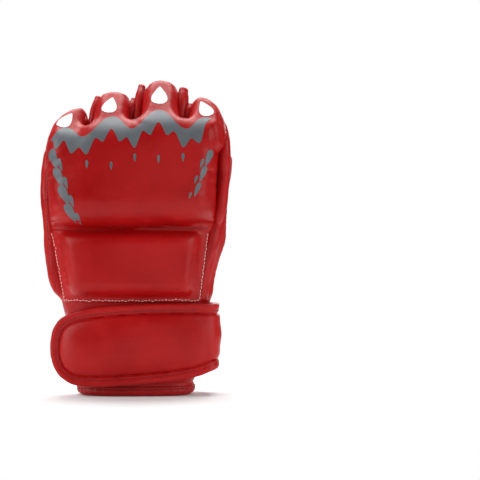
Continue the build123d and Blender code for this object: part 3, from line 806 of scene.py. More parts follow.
def flecks():
    """Outlines of plain leaves: a row down each side of the pad, and small ones under the band."""
    marks = []
    for i in range(4):
        marks.append(leaf(-62.0 + 3.9 * i, 60.0 - 13.6 * i, 6.6, 16.5, 158))
        marks.append(leaf(-55.5 + 3.9 * i, 53.0 - 13.6 * i, 3.4, 10.0, 164))
    for i in range(3):
        marks.append(leaf(55.5 - 4.2 * i, 60.0 - 12.5 * i, 5.0 - 0.7 * i, 14.0 - i, 200))
        marks.append(leaf(49.5 - 4.2 * i, 53.0 - 12.5 * i, 2.6 - 0.4 * i, 8.0 - i, 196))
    for i in range(5):
        x = FLAP_PITCH * (0.5 * i - 1)
        marks.append(leaf(x, float(bend_end(x)) - FLECK_DROP - 3 * (i % 2), 2.4, 7.0, 180))
    return marks


def print_motif():
    """Generic print: a plain leaf on each flap, a zigzag band under them, and rows of plain leaves."""
    for name, *sizes in LEAVES:
        mark = film(f"{name}_white_print", past_bend(leaf(*sizes)), 0.22, WHITE_INK)
        flex_with(mark, name, FINGER_HEIGHTS[name])
    band = soften(even_path(zigzag_band(), 1.2, closed=True), 1)
    for i, shape in enumerate([band] + flecks()):
        settle(film(f"grey_print_{i:02d}", shape, 0.18, GREY_INK), "hand", "red_leather")


print_motif()

# ---------------------------------------------------------------- lower pad

LOWER_OUTLINE = ((-66.6, 126.8), (-57.2, 71.4), (49.2, 71.4), (56.0, 126.8))
LOWER_SEAM = ((-64.9, 124.8), (-56.0, 73.3), (47.9, 73.3), (54.3, 124.4))
LOWER_FLANGES = (6.8, 6.0, 6.8, 1.8)  # left, bottom, right and top


def line_distances(points, corners):
    """Distance inside each side of a convex outline, side by side."""
    points, a = np.asarray(points, float), np.asarray(corners, float)
    run = np.roll(a, -1, 0) - a
    run /= np.linalg.norm(run, axis=1)[:, None]
    return [(points - start) @ np.array([-along[1], along[0]]) for start, along in zip(a, run)]


def lower_lift(flat):
    """Height of the lower pad's cover over the back of the hand: a raised pillow in a flat flange."""
    x, z = flat.T
    sides = [d - flange for d, flange in zip(line_distances(flat, LOWER_OUTLINE), LOWER_FLANGES)]
    inset = -np.log(sum(np.exp(-0.45 * np.clip(d, -8, 40)) for d in sides)) / 0.45
    raised = round_edge(inset / 9)
    foot = smooth((inset + 3) / 3.5) * 0.9
    pleats = 0.30 * np.sin(1.75 * x + 0.6 * np.sin(0.31 * x)) * smooth((2 - inset) / 3) * smooth((84 - z) / 5)
    swell = 0.45 * bumps(flat, 24.0, 5) * raised + 0.9 * (raised - smooth((inset - 9) / 26) * 0.35)
    return 1.3 + foot + 9.4 * raised + swell + pleats


def back_place(flat, lift):
    """Point at x and z, lifted off the back of the hand."""
    x, z = flat.T
    return np.stack([x, hand_y(x, z, -1) - lift, z], -1)


def lower_pad():
    """Pad over the back of the hand, with a white row of stitches in its flange."""
    outline = soften(even_path(LOWER_OUTLINE, 1.5, closed=True), 5)

    def top(flat, distance):
        return back_place(flat, lower_lift(flat) * (0.25 + 0.75 * round_edge(distance / 1.2)))

    def bottom(flat, distance):
        return back_place(flat, -0.2 - 0.2 * round_edge(distance / 2))

    pad = filled("lower_pad", outline, 2.0, (0.2, 0.7, 1.6, 3.0), top, bottom, RED)
    settle(pad, "hand", "red_leather", "lower_pad_cover", "lower_pad_foam")

    path = soften(even_path(LOWER_SEAM, 0.5), 10, closed=False)
    x, z = path.T
    path = np.stack([x + 0.25 * bumps(path, 9.0, 4), z + 0.5 * bumps(path, 13.0, 6)], -1)
    places = back_place(path, lower_lift(path) + 0.1)
    lean = np.stack([x / 90, np.full(len(x), -1.0), np.zeros(len(x))], -1)
    sew("lower_pad_stitches", "hand", "red_leather", places, lean, 2.7, 2.2, 0.27, 1.0, 3, WHITE_THREAD)


lower_pad()

# ---------------------------------------------------------------- walls of the hand


def angle_at_x(x, z, side):
    """Angle of the point at x on the back (side -1) or the palm (side 1)."""
    low, high, _, _ = hand_station(z)
    u = np.clip((x - (low + high) / 2) / ((high - low) / 2), -1, 1)
    return side * np.arccos(np.sign(u) * np.abs(u) ** (OVAL_POWER / 2))


def angle_at_y(y, z, thumb_side):
    """Angle of the point at depth y on the palm half of the thumb side or the pinky side."""
    _, _, _, palm = hand_station(z)
    angle = np.arcsin(np.clip((y - HAND_Y) / palm, 0, 1) ** (OVAL_POWER / 2))
    return angle if thumb_side else pi - angle


# Each side wall: its back edge as height and x, its swelling as height and depth, and the width and the
# area of its cut in metres.
THUMB_WALL = (
    ((72, 47), (90, 49), (126, 55), (136, 58), (180, 58.5), (200, 59)),
    ((72, 1.5), (86, 0.6), (97, 1.0), (119, 4.2), (135, 3.4), (158, 3.2), (177, 5.0), (200, 3.0)),
    0.042, 0.0046,
)
PINKY_WALL = (
    ((72, -56), (126, -66), (165, -67), (200, -66)),
    ((72, 1.5), (82, 5.2), (91, 6.0), (104, 5.0), (127, 2.8), (165, 2.6), (200, 1.0)),
    0.034, 0.0038,
)


def gusset(name, thumb_side, top):
    """Side wall between the pads and the palm: loose leather with upright folds, puffed between its seams."""
    columns = 44
    down, t = shares(90, columns)
    top = top - 13 * smooth((t - 0.1) / 0.9)
    z = WALL_LOW + (top - WALL_LOW) * down
    edges, puffs, width, area = THUMB_WALL if thumb_side else PINKY_WALL
    back = angle_at_x(cubic(z, *np.array(edges, float).T), z, -1) + (0 if thumb_side else 2 * pi)
    palm = angle_at_y(PALM_Y, z, thumb_side)
    puff = cubic(z, *np.array(puffs, float).T)
    angle = back + (palm - back) * t
    seed = 11 if thumb_side else 17
    places = np.stack([t.ravel() * 60, z.ravel() * 0.33, np.full(t.size, seed * 9.0)], -1)
    folds = bumps(places, 11.0, seed).reshape(t.shape)
    places = np.stack([t.ravel() * 40, z.ravel() * 0.6, np.zeros(t.size)], -1)
    crumples = bumps(places, 15.0, seed + 2).reshape(t.shape)
    ridge = 1 - np.abs(folds) * 2.2
    edge = round_edge(np.minimum(t, 1 - t) / 0.22)
    sharp = np.abs(crumples) ** 0.8
    grow = puff * edge + edge * (1.5 * ridge + 0.7 * sharp - 1.1) * (0.35 + 0.65 * edge)
    grow += 0.7 * edge * gauss(z - (132 if thumb_side else 96), 5) * np.sin(t * 9)
    grow = grow * smooth((z - 70) / 10) * (0.25 + 0.75 * smooth((top - z) / 7))
    outer = hand_point(angle, z, grow)
    inner = hand_point(angle, z, np.minimum(grow, 0.4) - 1.9)
    wall = shell(name, outer, inner, SOFT_RED, flip=not thumb_side)
    settle(wall, "hand", "red_soft_leather", name)
    for label, side in (("back", 0.07), ("palm", 0.93)):
        column = int(side * (columns - 1))
        path = outer[4:-4, column]
        away = path - hand_point(angle[4:-4, column], z[4:-4, column], -10)
        path = even_path(path, 0.6)
        away = np.resize(away.mean(0), path.shape)
        sew(f"{name}_{label}_stitches", "hand", "red_soft_leather", path, away, 3.0, 2.1, 0.26, 0.15, seed)


gusset("thumb_side_gusset", True, 198.0)
gusset("pinky_side_gusset", False, 196.5)


def back_sheet(name, low_x, high_x, low_z, high_z, outer_grow, inner_grow, material, slot):
    """Plain sheet over the back of the hand, between two edges given by x."""
    down, t = shares(60, 60)
    z = low_z + (high_z + 4 * np.sin(pi * t) - low_z) * down
    low_angle, high_angle = angle_at_x(low_x, z, -1), angle_at_x(high_x, z, -1)
    angle = low_angle + (high_angle - low_angle) * t
    ripple = 0.25 * bumps(np.stack([angle.ravel() * 60, z.ravel()], -1), 14.0, 23).reshape(z.shape)
    outer, inner = hand_point(angle, z, outer_grow + ripple), hand_point(angle, z, inner_grow + ripple)
    sheet = shell(name, outer, inner, material)
    settle(sheet, "hand", slot, name)
    return sheet


back = back_sheet("backhand_panel", -67.6, 61, WALL_LOW, 186, -0.5, -2.2, RED, "red_leather")
back_lining = back_sheet("backhand_lining", -66, 60, 70, 186.5, -2.0, -3.6, LINING, "lining_cloth")

# ---------------------------------------------------------------- palm

BAR_ENDS = np.array([(-63.5, 13.0, 152.0), (37.0, 14.5, 163.5)])
PALM_OVAL = (-10.0, 112.0, 22.0, 26.0)
PALM_SCALE = 60.0  # the palm is drawn flat with this many millimetres to a radian


def bar_height(x):
    """Height of the middle of the grip bar."""
    share = (x - BAR_ENDS[0, 0]) / (BAR_ENDS[1, 0] - BAR_ENDS[0, 0])
    return BAR_ENDS[0, 2] + share * (BAR_ENDS[1, 2] - BAR_ENDS[0, 2])


def palm_place(flat, grow):
    """Point on the palm from its place on the flat drawing."""
    return hand_point(flat[:, 0] / PALM_SCALE, flat[:, 1], grow)


def palm_flat(x, z):
    """Place on the flat drawing of the palm's point at x and z."""
    x, z = np.broadcast_arrays(np.asarray(x, float), np.asarray(z, float))
    return np.stack([angle_at_x(x, z, 1) * PALM_SCALE, z], -1)


def palm_hole(grow, turn):
    """The palm's oval opening on the flat drawing, grown outwards."""
    cx, cz, half_width, half_height = PALM_OVAL
    return palm_flat(cx + (half_width + grow) * np.cos(turn), cz + (half_height + grow) * np.sin(turn))


def palm():
    """Palm sheet with its creases, and the bound oval opening in it."""
    z = np.linspace(WALL_LOW, 160, 60)
    right, left = [np.stack([angle_at_y(PALM_Y, z, side) * PALM_SCALE, z], -1) for side in (True, False)]
    x = np.linspace(60, -66, 50)
    top = palm_flat(x, bar_height(x) - 1.0)
    right = right[right[:, 1] < top[0, 1]]
    left = left[left[:, 1] < top[-1, 1]]
    outline = soften(even_path(np.vstack([right, top, left[::-1]]), 2.0, closed=True), 2)
    hole = palm_hole(0, np.linspace(0, 2 * pi, 72, endpoint=False))

    def folds(flat):
        x, z = palm_place(flat, 0).T[[0, 2]]
        life = gauss(np.hypot(x - 44, (z - 100) * 0.8) - 36, 2.4)
        heel = gauss(z - 84 - 0.06 * x - 2 * np.sin(x / 13), 2.2)
        across = gauss(z - 141 - 0.1 * x - 1.6 * np.sin(x / 9), 2.0)
        swell = bumps(flat, 17.0, 31) * 1.1 + bumps(flat * (1, 0.6), 7.0, 33) * 0.35
        return swell - 1.3 * life - 0.9 * heel - across

    def top_place(flat, distance):
        return palm_place(flat, 0.8 * round_edge(distance / 2.5) - 0.6 + folds(flat) * smooth(distance / 5))

    def bottom_place(flat, distance):
        return palm_place(flat, -2.2 + folds(flat) * smooth(distance / 5))

    panel = filled("palm_panel", outline, 2.4, (0.6, 1.8), top_place, bottom_place, SOFT_RED, hole)
    settle(panel, "hand", "red_soft_leather", "palm_panel")

    turn = np.linspace(0, 2 * pi, 120, endpoint=False)
    rim = []
    for s in np.linspace(0, 2 * pi, 14, endpoint=False):
        lift = -1.2 + 2.6 * sin(s) + 0.14 * np.sin(turn * 46) * max(0.0, sin(s))
        rim.append(palm_place(palm_hole(0.2 + (cos(s) + 1.0) * 2.2, turn), lift))
    binding = hoop("palm_opening_binding", np.stack(rim, 1), BINDING)
    settle(binding, "hand", "red_binding", "palm_opening_binding")
    flat = palm_hole(3.6, np.linspace(0, 2 * pi, 121))
    path = palm_place(flat, 0.95)
    away = path - palm_place(flat, -10)
    sew("palm_opening_stitches", "hand", "red_binding", path, away, 3.0, 2.1, 0.28, 0.1, 8)


palm()


def grip_bar():
    """Soft foam bar across the top of the palm."""
    t = np.linspace(-0.02, 1.02, 120)
    path = BAR_ENDS[0] + (BAR_ENDS[1] - BAR_ENDS[0]) * t[:, None]
    path[:, 1] += 1.6 * np.sin(pi * np.clip(t, 0, 1))
    swell = 5.3 + 0.35 * bumps(np.c_[path[:, 0], path[:, 2]], 9.0, 41) + 0.25 * np.sin(path[:, 0] * 1.1)
    ends = round_edge(np.minimum(t + 0.02, 1.02 - t) / 0.05)
    bar = tube("grip_bar", path, np.maximum(swell * ends, 0.3), SOFT_RED, 28)
    settle(bar, "hand", "red_leather", "grip_bar_cover", "grip_bar_core")
    seam = path[4:-4] + (0, 5.35, -1)
    away = np.resize((0, 1, -0.2), seam.shape)
    sew("grip_bar_stitches", "hand", "red_leather", seam, away, 3.0, 2.1, 0.28, 0.1, 9)


grip_bar()

# ---------------------------------------------------------------- strap

STRAP_ARC = (-5.0, 124.2, 161.0)  # middle x and y and radius of the flap in plan
STRAP_HINGE = (50.4, -27.6)
# Outline of the strap by x along the flap, or past the hinge by distance, and height.
FLAP_TOP = (
    (-63.8, 50.9), (-58.7, 59.0), (-50, 63.8), (-39.8, 66.6), (-20, 69.2), (11, 70.9), (40, 71.0), (50, 70.8),
)
FLAP_BOTTOM = (
    (50, 16.0), (45.6, 14.9), (30, 12.0), (6.8, 9.8), (-21.5, 7.6), (-40, 7.4), (-50, 9.4), (-58.7, 15.2),
    (-63.2, 22.5), (-65.4, 31), (-65.6, 40.5),
)
WRAP_RISE = 21.0
WRAP_TOP = 70.5


def strap_path():
    """The strap's middle surface in plan, from the flap's tip round the thumb side to the palm."""
    cx, cy, radius = STRAP_ARC
    x = np.linspace(-66, 50, 120)
    flap = np.stack([x, cy - np.sqrt(radius**2 - (x - cx) ** 2)], 1)
    wrap = [
        (54.9, -26.0), (58.2, -23.6), (59.6, -20.5), (60.0, -16), (60.0, 8), (58.2, 17), (53, 24.2),
        (46, 28.2), (36, 29.6), (-30, 29.6),
    ]
    path = even_path(np.vstack([flap, wrap]), 0.5)
    return soften(path, 14, closed=False)


STRAP_PLAN = strap_path()
STRAP_LENGTHS = distances(STRAP_PLAN)
HINGE_AT = STRAP_LENGTHS[np.argmin(np.linalg.norm(STRAP_PLAN - STRAP_HINGE, axis=1))]


def strap_place(flat, lift):
    """Point at a distance along the strap, a height, and a lift outwards from its middle surface."""
    u, v = np.asarray(flat, float).T
    tangents = np.gradient(STRAP_PLAN, axis=0)
    tangents /= np.linalg.norm(tangents, axis=1)[:, None]
    x, y, tx, ty = [np.interp(u, STRAP_LENGTHS, c) for c in (*STRAP_PLAN.T, *tangents.T)]
    return np.stack([x + ty * lift, y - tx * lift, v], -1)


def along_strap(x):
    """Distance along the strap of a place on the flap."""
    flap = STRAP_LENGTHS <= HINGE_AT + 4
    return float(np.interp(x, STRAP_PLAN[flap, 0], STRAP_LENGTHS[flap]))


def strap_outline():
    """Outline of the flap and its wrap, as distance along the strap and height."""
    top = [(along_strap(x), z) for x, z in FLAP_TOP]
    bottom = [(along_strap(x), z) for x, z in FLAP_BOTTOM]
    end = STRAP_LENGTHS[-1] - 0.5
    wrap = [(HINGE_AT + 8, 70.6), (end, WRAP_TOP), (end, WRAP_RISE)]
    wrap += [(HINGE_AT + 14, WRAP_RISE), (HINGE_AT + 7, 19.2)]
    return soften(even_path(top + wrap + bottom, 1.6, closed=True), 4)


STRAP_EDGE = strap_outline()
STRAP_BOUND = 7.6  # width of the binding
STRAP_SEAM = 5.2  # distance of its stitches from the edge
STRAP_PART = 5.5  # distance past the hinge at which the flap and the wrap meet


def strap_lift(flat, distance):
    """Height of the strap's face over its middle surface: a padded field inside a folded binding."""
    u = np.asarray(flat)[:, 0]
    binding = 1.0 + 1.9 * round_edge(distance / 1.6) - 0.35 * smooth((distance - 2) / 5)
    fold = 0.16 * bumps(flat, 5.0, 51) * smooth(distance / 2)
    pad = 1.2 + 3.5 * round_edge((distance - STRAP_BOUND) / 9.5) + 1.5 * smooth((distance - 9) / 18)
    past_bend = smooth((u - HINGE_AT + 4) / 14)
    pad = pad - 1.6 * past_bend * smooth((distance - STRAP_BOUND) / 9)
    pad += 0.35 * bumps(flat, 22.0, 53) * smooth((distance - STRAP_BOUND) / 12)
    join = 1.7 * gauss(distance - STRAP_BOUND, 0.6)
    sewn = 0.6 * gauss(distance - STRAP_SEAM, 0.55)
    return np.where(distance < STRAP_BOUND, binding + fold, pad) - join - sewn


def strap():
    """The flap and the wrap, cut from one mesh at the hinge, and the stitches along their binding."""

    def top(flat, distance):
        return strap_place(flat, strap_lift(flat, distance))

    def bottom(flat, distance):
        return strap_place(flat, -1.2 - 1.0 * round_edge(distance / 1.6) + 0.12 * bumps(flat, 6.0, 55))

    rings = (0.35, 1.0, 1.8, 3.2, 4.5, 5.2, 5.9, 7.0, 7.6, 8.2, 9.2, 10.8)
    points, faces, places = cushion(STRAP_EDGE, 2.3, rings, top, bottom)
    normals = vertex_normals(points, faces)
    start = np.array([places[f, 0].min() for f in faces])
    flap = part_of("strap_flap", points, faces, normals, start < HINGE_AT + STRAP_PART, RED)
    wrap = part_of("strap_wrap", points, faces, normals, start >= HINGE_AT + STRAP_PART, RED)
    settle(wrap, "hand", "red_leather", "strap_wrap", "strap_wrap_binding")
    blend_strap(flap)
    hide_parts("strap_base", "strap_foam", "strap_cover", "strap_binding")

    inset = soften(even_path(STRAP_EDGE, 1.6, closed=True), 2)
    away = np.roll(inset, -1, 0) - np.roll(inset, 1, 0)
    away = np.stack([away[:, 1], -away[:, 0]], 1) / np.linalg.norm(away, axis=1)[:, None]
    if np.cross(inset, np.roll(inset, -1, 0)).sum() < 0:
        away = -away
    line = soften(even_path(inset - away * STRAP_SEAM, 0.6, closed=True), 6)
    runs = (
        ("strap_flap_stitches", "strap", line[:, 0] < HINGE_AT - 5),
        ("strap_wrap_stitches", "hand", line[:, 0] > HINGE_AT + 6),
    )
    for name, body, chosen in runs:
        breaks = np.nonzero(np.diff(chosen.astype(int)) == 1)[0]
        order = np.roll(np.arange(len(line)), -int(breaks[0]) - 1 if len(breaks) else 0)
        path = line[order][chosen[order]]
        lift = strap_lift(path, edge_distance(path, STRAP_EDGE)) + 0.12
        outside = strap_place(path, lift)
        up = outside - strap_place(path, lift - 5)
        sew(name, body, "red_binding", outside, up, 3.3, 2.4, 0.32, 0.2, 12)


def blend_strap(obj):
    """Bakes the flap's placement into its mesh; no bend at the hinge is made."""
    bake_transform(obj)


strap()


def hook_patch():
    """Hook tape under the flap."""
    low, high = along_strap(-46), along_strap(-6)
    corners = [(low, 26), (high, 26), (high, 56), (low, 56)]
    outline = soften(even_path(corners, 1.6, closed=True), 3)
    back = -2.1  # just under the flap

    def top(flat, distance):
        return strap_place(flat, back)

    def bottom(flat, distance):
        return strap_place(flat, back - 1.1 * round_edge(distance / 0.8) - 0.12 * bumps(flat, 2.0, 61))

    patch = filled("strap_hook_patch", outline, 2.0, (0.3, 0.8), top, bottom, HOOK)
    settle(patch, "strap", "hook_tape", "strap_hook_patch")


hook_patch()


def anchor():
    """Small padded block under the end of the wrap, and the boxed cross of stitches that holds it."""
    end = STRAP_LENGTHS[-1]
    corners = [(end - 17, 28), (end - 1.5, 28), (end - 1.5, 63), (end - 17, 63)]
    outline = soften(even_path(corners, 1.5, closed=True), 3)

    def top(flat, distance):
        return strap_place(flat, -1.6)

    def bottom(flat, distance):
        return strap_place(flat, -5.2 + 1.5 * (1 - round_edge(distance / 2)))

    block = filled("strap_anchor", outline, 2.0, (0.4, 1.2), top, bottom, RED)
    settle(block, "hand", "red_leather", "strap_anchor")
    a, b, c, d = (end - 20, 29.5), (end - 9, 29.5), (end - 9, 62), (end - 20, 62)
    path = even_path([a, b, c, d, a, c, b, d], 0.5)
    lift = strap_lift(path, edge_distance(path, STRAP_EDGE)) + 0.15
    outside = strap_place(path, lift)
    away = outside - strap_place(path, lift - 5)
    sew("strap_anchor_stitches", "hand", "red_leather", outside, away, 2.8, 2.0, 0.3, 0.1, 14)


anchor()

# ---------------------------------------------------------------- cuff


def cuff_z(angle, z):
    """The cuff's bottom edge lifts a little at the two sides."""
    return z + 1.3 * np.abs(np.cos(angle)) ** 14 * (1 - smooth(z / 12))


def slit_angles(z):
    """Angles of the two edges of the slit in the palm side of the cuff."""
    return angle_at_x(-6.0, z, 1), angle_at_x(-22.0, z, 1)


def cuff_walls():
    """Padded outer wall with its slit, the band above it and the lining inside."""
    down, t = shares(50, 150)
    z = 1.2 + (64 - 1.2) * down
    right, left = slit_angles(z)
    angle = right - t * (right - left + 2 * pi)
    places = np.stack([np.cos(angle).ravel() * 50, np.sin(angle).ravel() * 30, z.ravel()], -1)
    ripple = 0.5 * bumps(places, 15.0, 71).reshape(z.shape)
    crease = 1.1 * gauss(z - 10.2 - angle, 1.1) * smooth((np.cos(angle) - 0.1) / 0.6)
    grow = ripple * smooth((z - 6) / 8) - crease
    height = cuff_z(angle, z)
    outer, inner = hand_point(angle, height, grow), hand_point(angle, height, grow - 3.6)
    wall = shell("cuff_shell", outer, inner, RED, flip=True)
    settle(wall, "hand", "red_leather", "cuff_shell")

    down, t = shares(9, 160, closed=True)
    z, angle = 62 + 13 * down, 2 * pi * t
    band = shell("cuff_top_band", hand_point(angle, z, 0.15), hand_point(angle, z, -3.6), RED, wrap=True)
    settle(band, "hand", "red_leather")

    down, t = shares(30, 160, closed=True)
    angle = 2 * pi * t
    height = cuff_z(angle, 2.0 + 73.5 * down)
    outer, inner = hand_point(angle, height, -3.9), hand_point(angle, height, -5.2)
    lining = shell("cuff_lining", outer, inner, LINING, wrap=True)
    settle(lining, "hand", "lining_cloth", "cuff_lining")


def cuff_elastic():
    """Ribbed gusset behind the slit, a little wider than it."""
    down, t = shares(61, 60)
    z, t = 6 + 60 * down, 1.12 * t - 0.06
    right, left = slit_angles(z)
    ribs = 0.5 * np.sin(t * 2 * pi * 11) + 0.35 * np.sin(z * 1.9)
    angle = right + (left - right) * t
    outer, inner = hand_point(angle, z, ribs - 1.7), hand_point(angle, z, ribs - 2.9)
    elastic = shell("cuff_elastic", outer, inner, ELASTIC)
    settle(elastic, "hand", "elastic", "cuff_elastic")


# Section of the binding round the cuff's bottom edge: distance out from the hand and height.
CUFF_FOLD = (
    (-6.1, 6.6), (-6.4, 4.0), (-6.2, 1.8), (-5.0, 0.5), (-2.6, 0.0), (-0.4, 0.3), (0.9, 1.4), (1.4, 3.0),
    (1.3, 4.5), (0.85, 5.3), (1.2, 6.1), (1.1, 7.1), (-0.3, 7.6), (-4.6, 7.3),
)
CUFF_SEAM = 5.3  # height of the binding's stitches


def cuff_binding():
    """Tape folded round the cuff's bottom edge."""
    turn = np.linspace(0, 2 * pi, 260, endpoint=False)
    wave = 0.15 * np.sin(turn * 37)
    wave = wave + 0.2 * bumps(np.stack([np.cos(turn) * 40, np.sin(turn) * 26], -1), 8.0, 73)
    rim = [hand_point(turn, cuff_z(turn, h), g + wave * (g > 0.5)) for g, h in CUFF_FOLD]
    binding = hoop("cuff_binding", np.stack(rim, 1), BINDING, flip=True)
    settle(binding, "hand", "red_binding", "cuff_binding")
    turn = np.linspace(0, 2 * pi, 500)
    path = hand_point(turn, cuff_z(turn, CUFF_SEAM), 1.0)
    away = path - hand_point(turn, CUFF_SEAM, -8)
    sew("cuff_binding_stitches", "hand", "red_binding", path, away, 3.2, 2.3, 0.3, 0.15, 15)


def loop_patch():
    """Loop tape on the back of the cuff, under the strap."""
    outline = soften(even_path([(-29, 23), (33, 23), (33, 59), (-29, 59)], 1.6, closed=True), 4)

    def top(flat, distance):
        return back_place(flat, 0.3 + 1.1 * round_edge(distance / 0.8) + 0.2 * bumps(flat, 1.8, 75))

    def bottom(flat, distance):
        return back_place(flat, -0.4)

    patch = filled("cuff_loop_patch", outline, 2.0, (0.3, 0.8), top, bottom, LOOP)
    settle(patch, "hand", "loop_tape", "cuff_loop_patch")


cuff_walls()
cuff_elastic()
cuff_binding()
loop_patch()

# ---------------------------------------------------------------- fingers

# Finger, roll, x at its lower and upper end, distance along the finger at each, radius.
ROLLS = (
    ("pinky", "outer", -63.5, -60.0, 8, 15, 2.8), ("pinky", "inner", -39.4, -40.4, 7, 21, 3.7),
    ("ring", "outer", -34.0, -29.8, 10, 32, 4.0), ("ring", "inner", -6.6, -2.0, 9, 30, 4.2),
    ("middle", "outer", 0.8, 3.2, 9, 38, 4.0), ("middle", "inner", 33.6, 35.4, 10, 34, 4.7),
    ("index", "outer", 38.6, 41.4, 8, 24, 3.8),
)
ROLL_DEPTH = 21.0
ROLL_RISE = 8.0  # how much nearer to the outside a tube's far end lies
# End of each band along the finger, at its side toward the pinky and its side toward the thumb.
BAND_REACH = {"pinky": (10.0, 22.0), "ring": (27.0, 29.0), "middle": (33.0, 33.0), "index": (24.0, 10.0)}


def finger_rolls():
    """Soft leather tubes under the edges of each flap, open at both ends."""
    segments, thickness = 22, 1.2
    crush = 1 + 0.05 * np.sin(3 * np.linspace(0, 2 * pi, segments, endpoint=False) + 1)[None, :, None]
    for name, label, low_x, high_x, low, high, radius in ROLLS:
        t = np.linspace(0, 1, 26)
        depth = ROLL_DEPTH + ROLL_RISE * t + 1.2 * np.sin(pi * t)
        path = on_finger(FINGER_HEIGHTS[name], low_x + (high_x - low_x) * t, low + (high - low) * t, depth)
        swell = radius * (1 + 0.06 * np.sin(t * 9 + low)) * (1 - 0.22 * smooth((t - 0.72) / 0.28))
        ring = crush * circles(path, segments, first=(1, 0, 0))
        outer = path[:, None] + swell[:, None, None] * ring
        inner = path[:, None] + (swell[:, None, None] - thickness) * ring
        roll = shell(f"{name}_{label}_roll", outer, inner, SOFT_RED, wrap=True)
        settle(roll, f"{name}_finger", "red_soft_leather", f"{name}_{label}_roll")


BAND_LOW, BAND_HIGH = 11.0, 28.0  # a band's lower edge, and its upper edge at the middle, along the finger
BAND_DEPTH = 18.0  # depth of the band's two ends, at the flap


def band_turn(t):
    """Places across and down round a band, each as a share of its size, for a share t of the way round."""
    turn = pi * (t - 0.5)
    return np.sign(turn) * np.abs(np.sin(turn)) ** 0.8, np.abs(np.cos(turn)) ** 0.8


def band_rise(name, t):
    """How much the band's upper edge rises over its middle towards its ends."""
    low, high = BAND_REACH[name]
    return (low + (high - low) * t - BAND_HIGH) * np.abs(2 * t - 1) ** 2.5


def finger_bands():
    """Soft band under each finger, with rolled edges, and a tongue from it to the grip bar."""
    for i, (name, middle, _, height, _) in enumerate(FINGERS):
        middle = middle + 0.4

        def band_point(share, along, width, depth):
            across, drop = share
            return on_finger(height, middle + across * width, along, BAND_DEPTH - (BAND_DEPTH + depth) * drop)

        down, t = shares(22, 46)
        along = BAND_LOW + down * (BAND_HIGH - BAND_LOW + band_rise(name, t))
        places = np.stack([t.ravel() * 40, along.ravel() + i * 50], -1)
        ripple = 0.35 * bumps(places, 7.0, 81 + i).reshape(t.shape)
        swell = ripple + 0.8 * (gauss(down - 0.04, 0.045) + gauss(down - 0.96, 0.045))
        outer = band_point(band_turn(t), along, 12.4 + swell, 11.5 + swell)
        inner = band_point(band_turn(t), along, 11.0 + ripple, 10.0 + ripple)
        band = shell(f"{name}_finger_band", outer, inner, SOFT_RED, flip=True)
        settle(band, f"{name}_finger", "red_soft_leather", f"{name}_finger_band")
        u = np.linspace(0.06, 0.94, 160)
        for j, place in enumerate((np.full_like(u, 14.0), 25.2 + band_rise(name, u))):
            path = band_point(band_turn(u), place, 12.7, 12.0)
            away = path - on_finger(height, middle, place, 6.0)
            label, seed = f"{name}_band_stitches_{j}", 90 + i * 2 + j
            sew(label, f"{name}_finger", "red_soft_leather", path, away, 2.9, 2.0, 0.26, 0.1, seed)
        tongue(name, middle, height, i)


def tongue(name, middle, height, i):
    """Strip of soft leather from a band down to the grip bar."""
    top = on_finger(height, middle, 17.0, -11.8)
    low = np.array([middle * 0.93 - 1.5, 17.0, bar_height(np.clip(middle, -52, 34)) + 2.0])
    if name == "index":
        low = np.array([42.0, 16.0, 166.5])  # past the thumb end of the bar
    t = np.linspace(0, 1, 26)[:, None]
    line = low + (top - low) * t
    line[:, 1] += 2.2 * np.sin(pi * t[:, 0])
    width = 9.6 - 1.8 * np.sin(pi * t)
    u = np.linspace(-1, 1, 18)[None]
    fold = (0.7 * np.sin(u * 5.0 + i) + 0.5 * np.cos(u * 9 + i * 2)) * np.sin(pi * t)
    x, y, z = line[:, :1] + u * width, line[:, 1:2] + fold - 1.6 * u * u, line[:, 2:] + 0 * u
    strip = shell(f"{name}_tongue", np.stack([x, y + 0.7, z], -1), np.stack([x, y - 0.7, z], -1), SOFT_RED)
    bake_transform(strip)


def finger_webs():
    """Soft leather saddle at the root of each notch, between two fingers and under the pad's edge."""
    for i, (x, height) in enumerate(((-38.4, 180.0), (-2.6, 187.0), (35.9, 187.0))):
        t, u = shares(20, 16)
        u = 2 * u - 1
        across = x + u * (6.0 - 2.4 * t)
        y = -41.0 + 21.0 * t
        z = height + 9.0 - 5.0 * t**2 + 2.2 * u * u + 0.4 * np.sin(u * 6 + i) * np.sin(pi * t)
        outer, inner = np.stack([across, y, z], -1), np.stack([across, y, z - 1.4], -1)
        web = shell(f"finger_web_{i + 1}", outer, inner, SOFT_RED)
        settle(web, "hand", "red_soft_leather")


finger_rolls()
finger_bands()
finger_webs()


def side_roll():
    """Soft fold down the thumb edge of the knuckle pad, which runs on under the side of the index flap."""
    height = FINGER_HEIGHTS["index"]
    feet = ((61.0, 130), (62.2, 137), (64.2, 148), (65.8, 160), (66.8, 172))
    low = [(x, hand_y(min(x, 61.0), z, -1) - 1.5, z) for x, z in feet]
    turn = [(67.2, KNUCKLE_Y - 13 * cos(a), height + 13 * sin(a)) for a in (0.15, 0.5)]
    tops = ((67.0, 3), (66.0, 11), (62.8, 19), (58.0, 25))
    high = [tuple(on_finger(height, x, along, 15.0)) for x, along in tops]
    path = soften(even_path(low + turn + high, 1.0), 16, closed=False)
    t = np.linspace(0, 1, len(path))
    radii = 4.9 * np.maximum(round_edge(np.minimum(t / 0.12, (1 - t) / 0.14)), 0.12)
    radii = radii * (1 + 0.035 * np.sin(t * 15) + 0.02 * np.sin(t * 37 + 1))
    radii = radii * (1 - 0.15 * smooth((t - 0.55) / 0.3))
    roll = tube("index_inner_roll", path, radii, SOFT_RED, 26, 1.3, (1, 0, 0))
    flex_with(roll, "index", height)
    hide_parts("index_inner_roll")


side_roll()

# ---------------------------------------------------------------- thumb

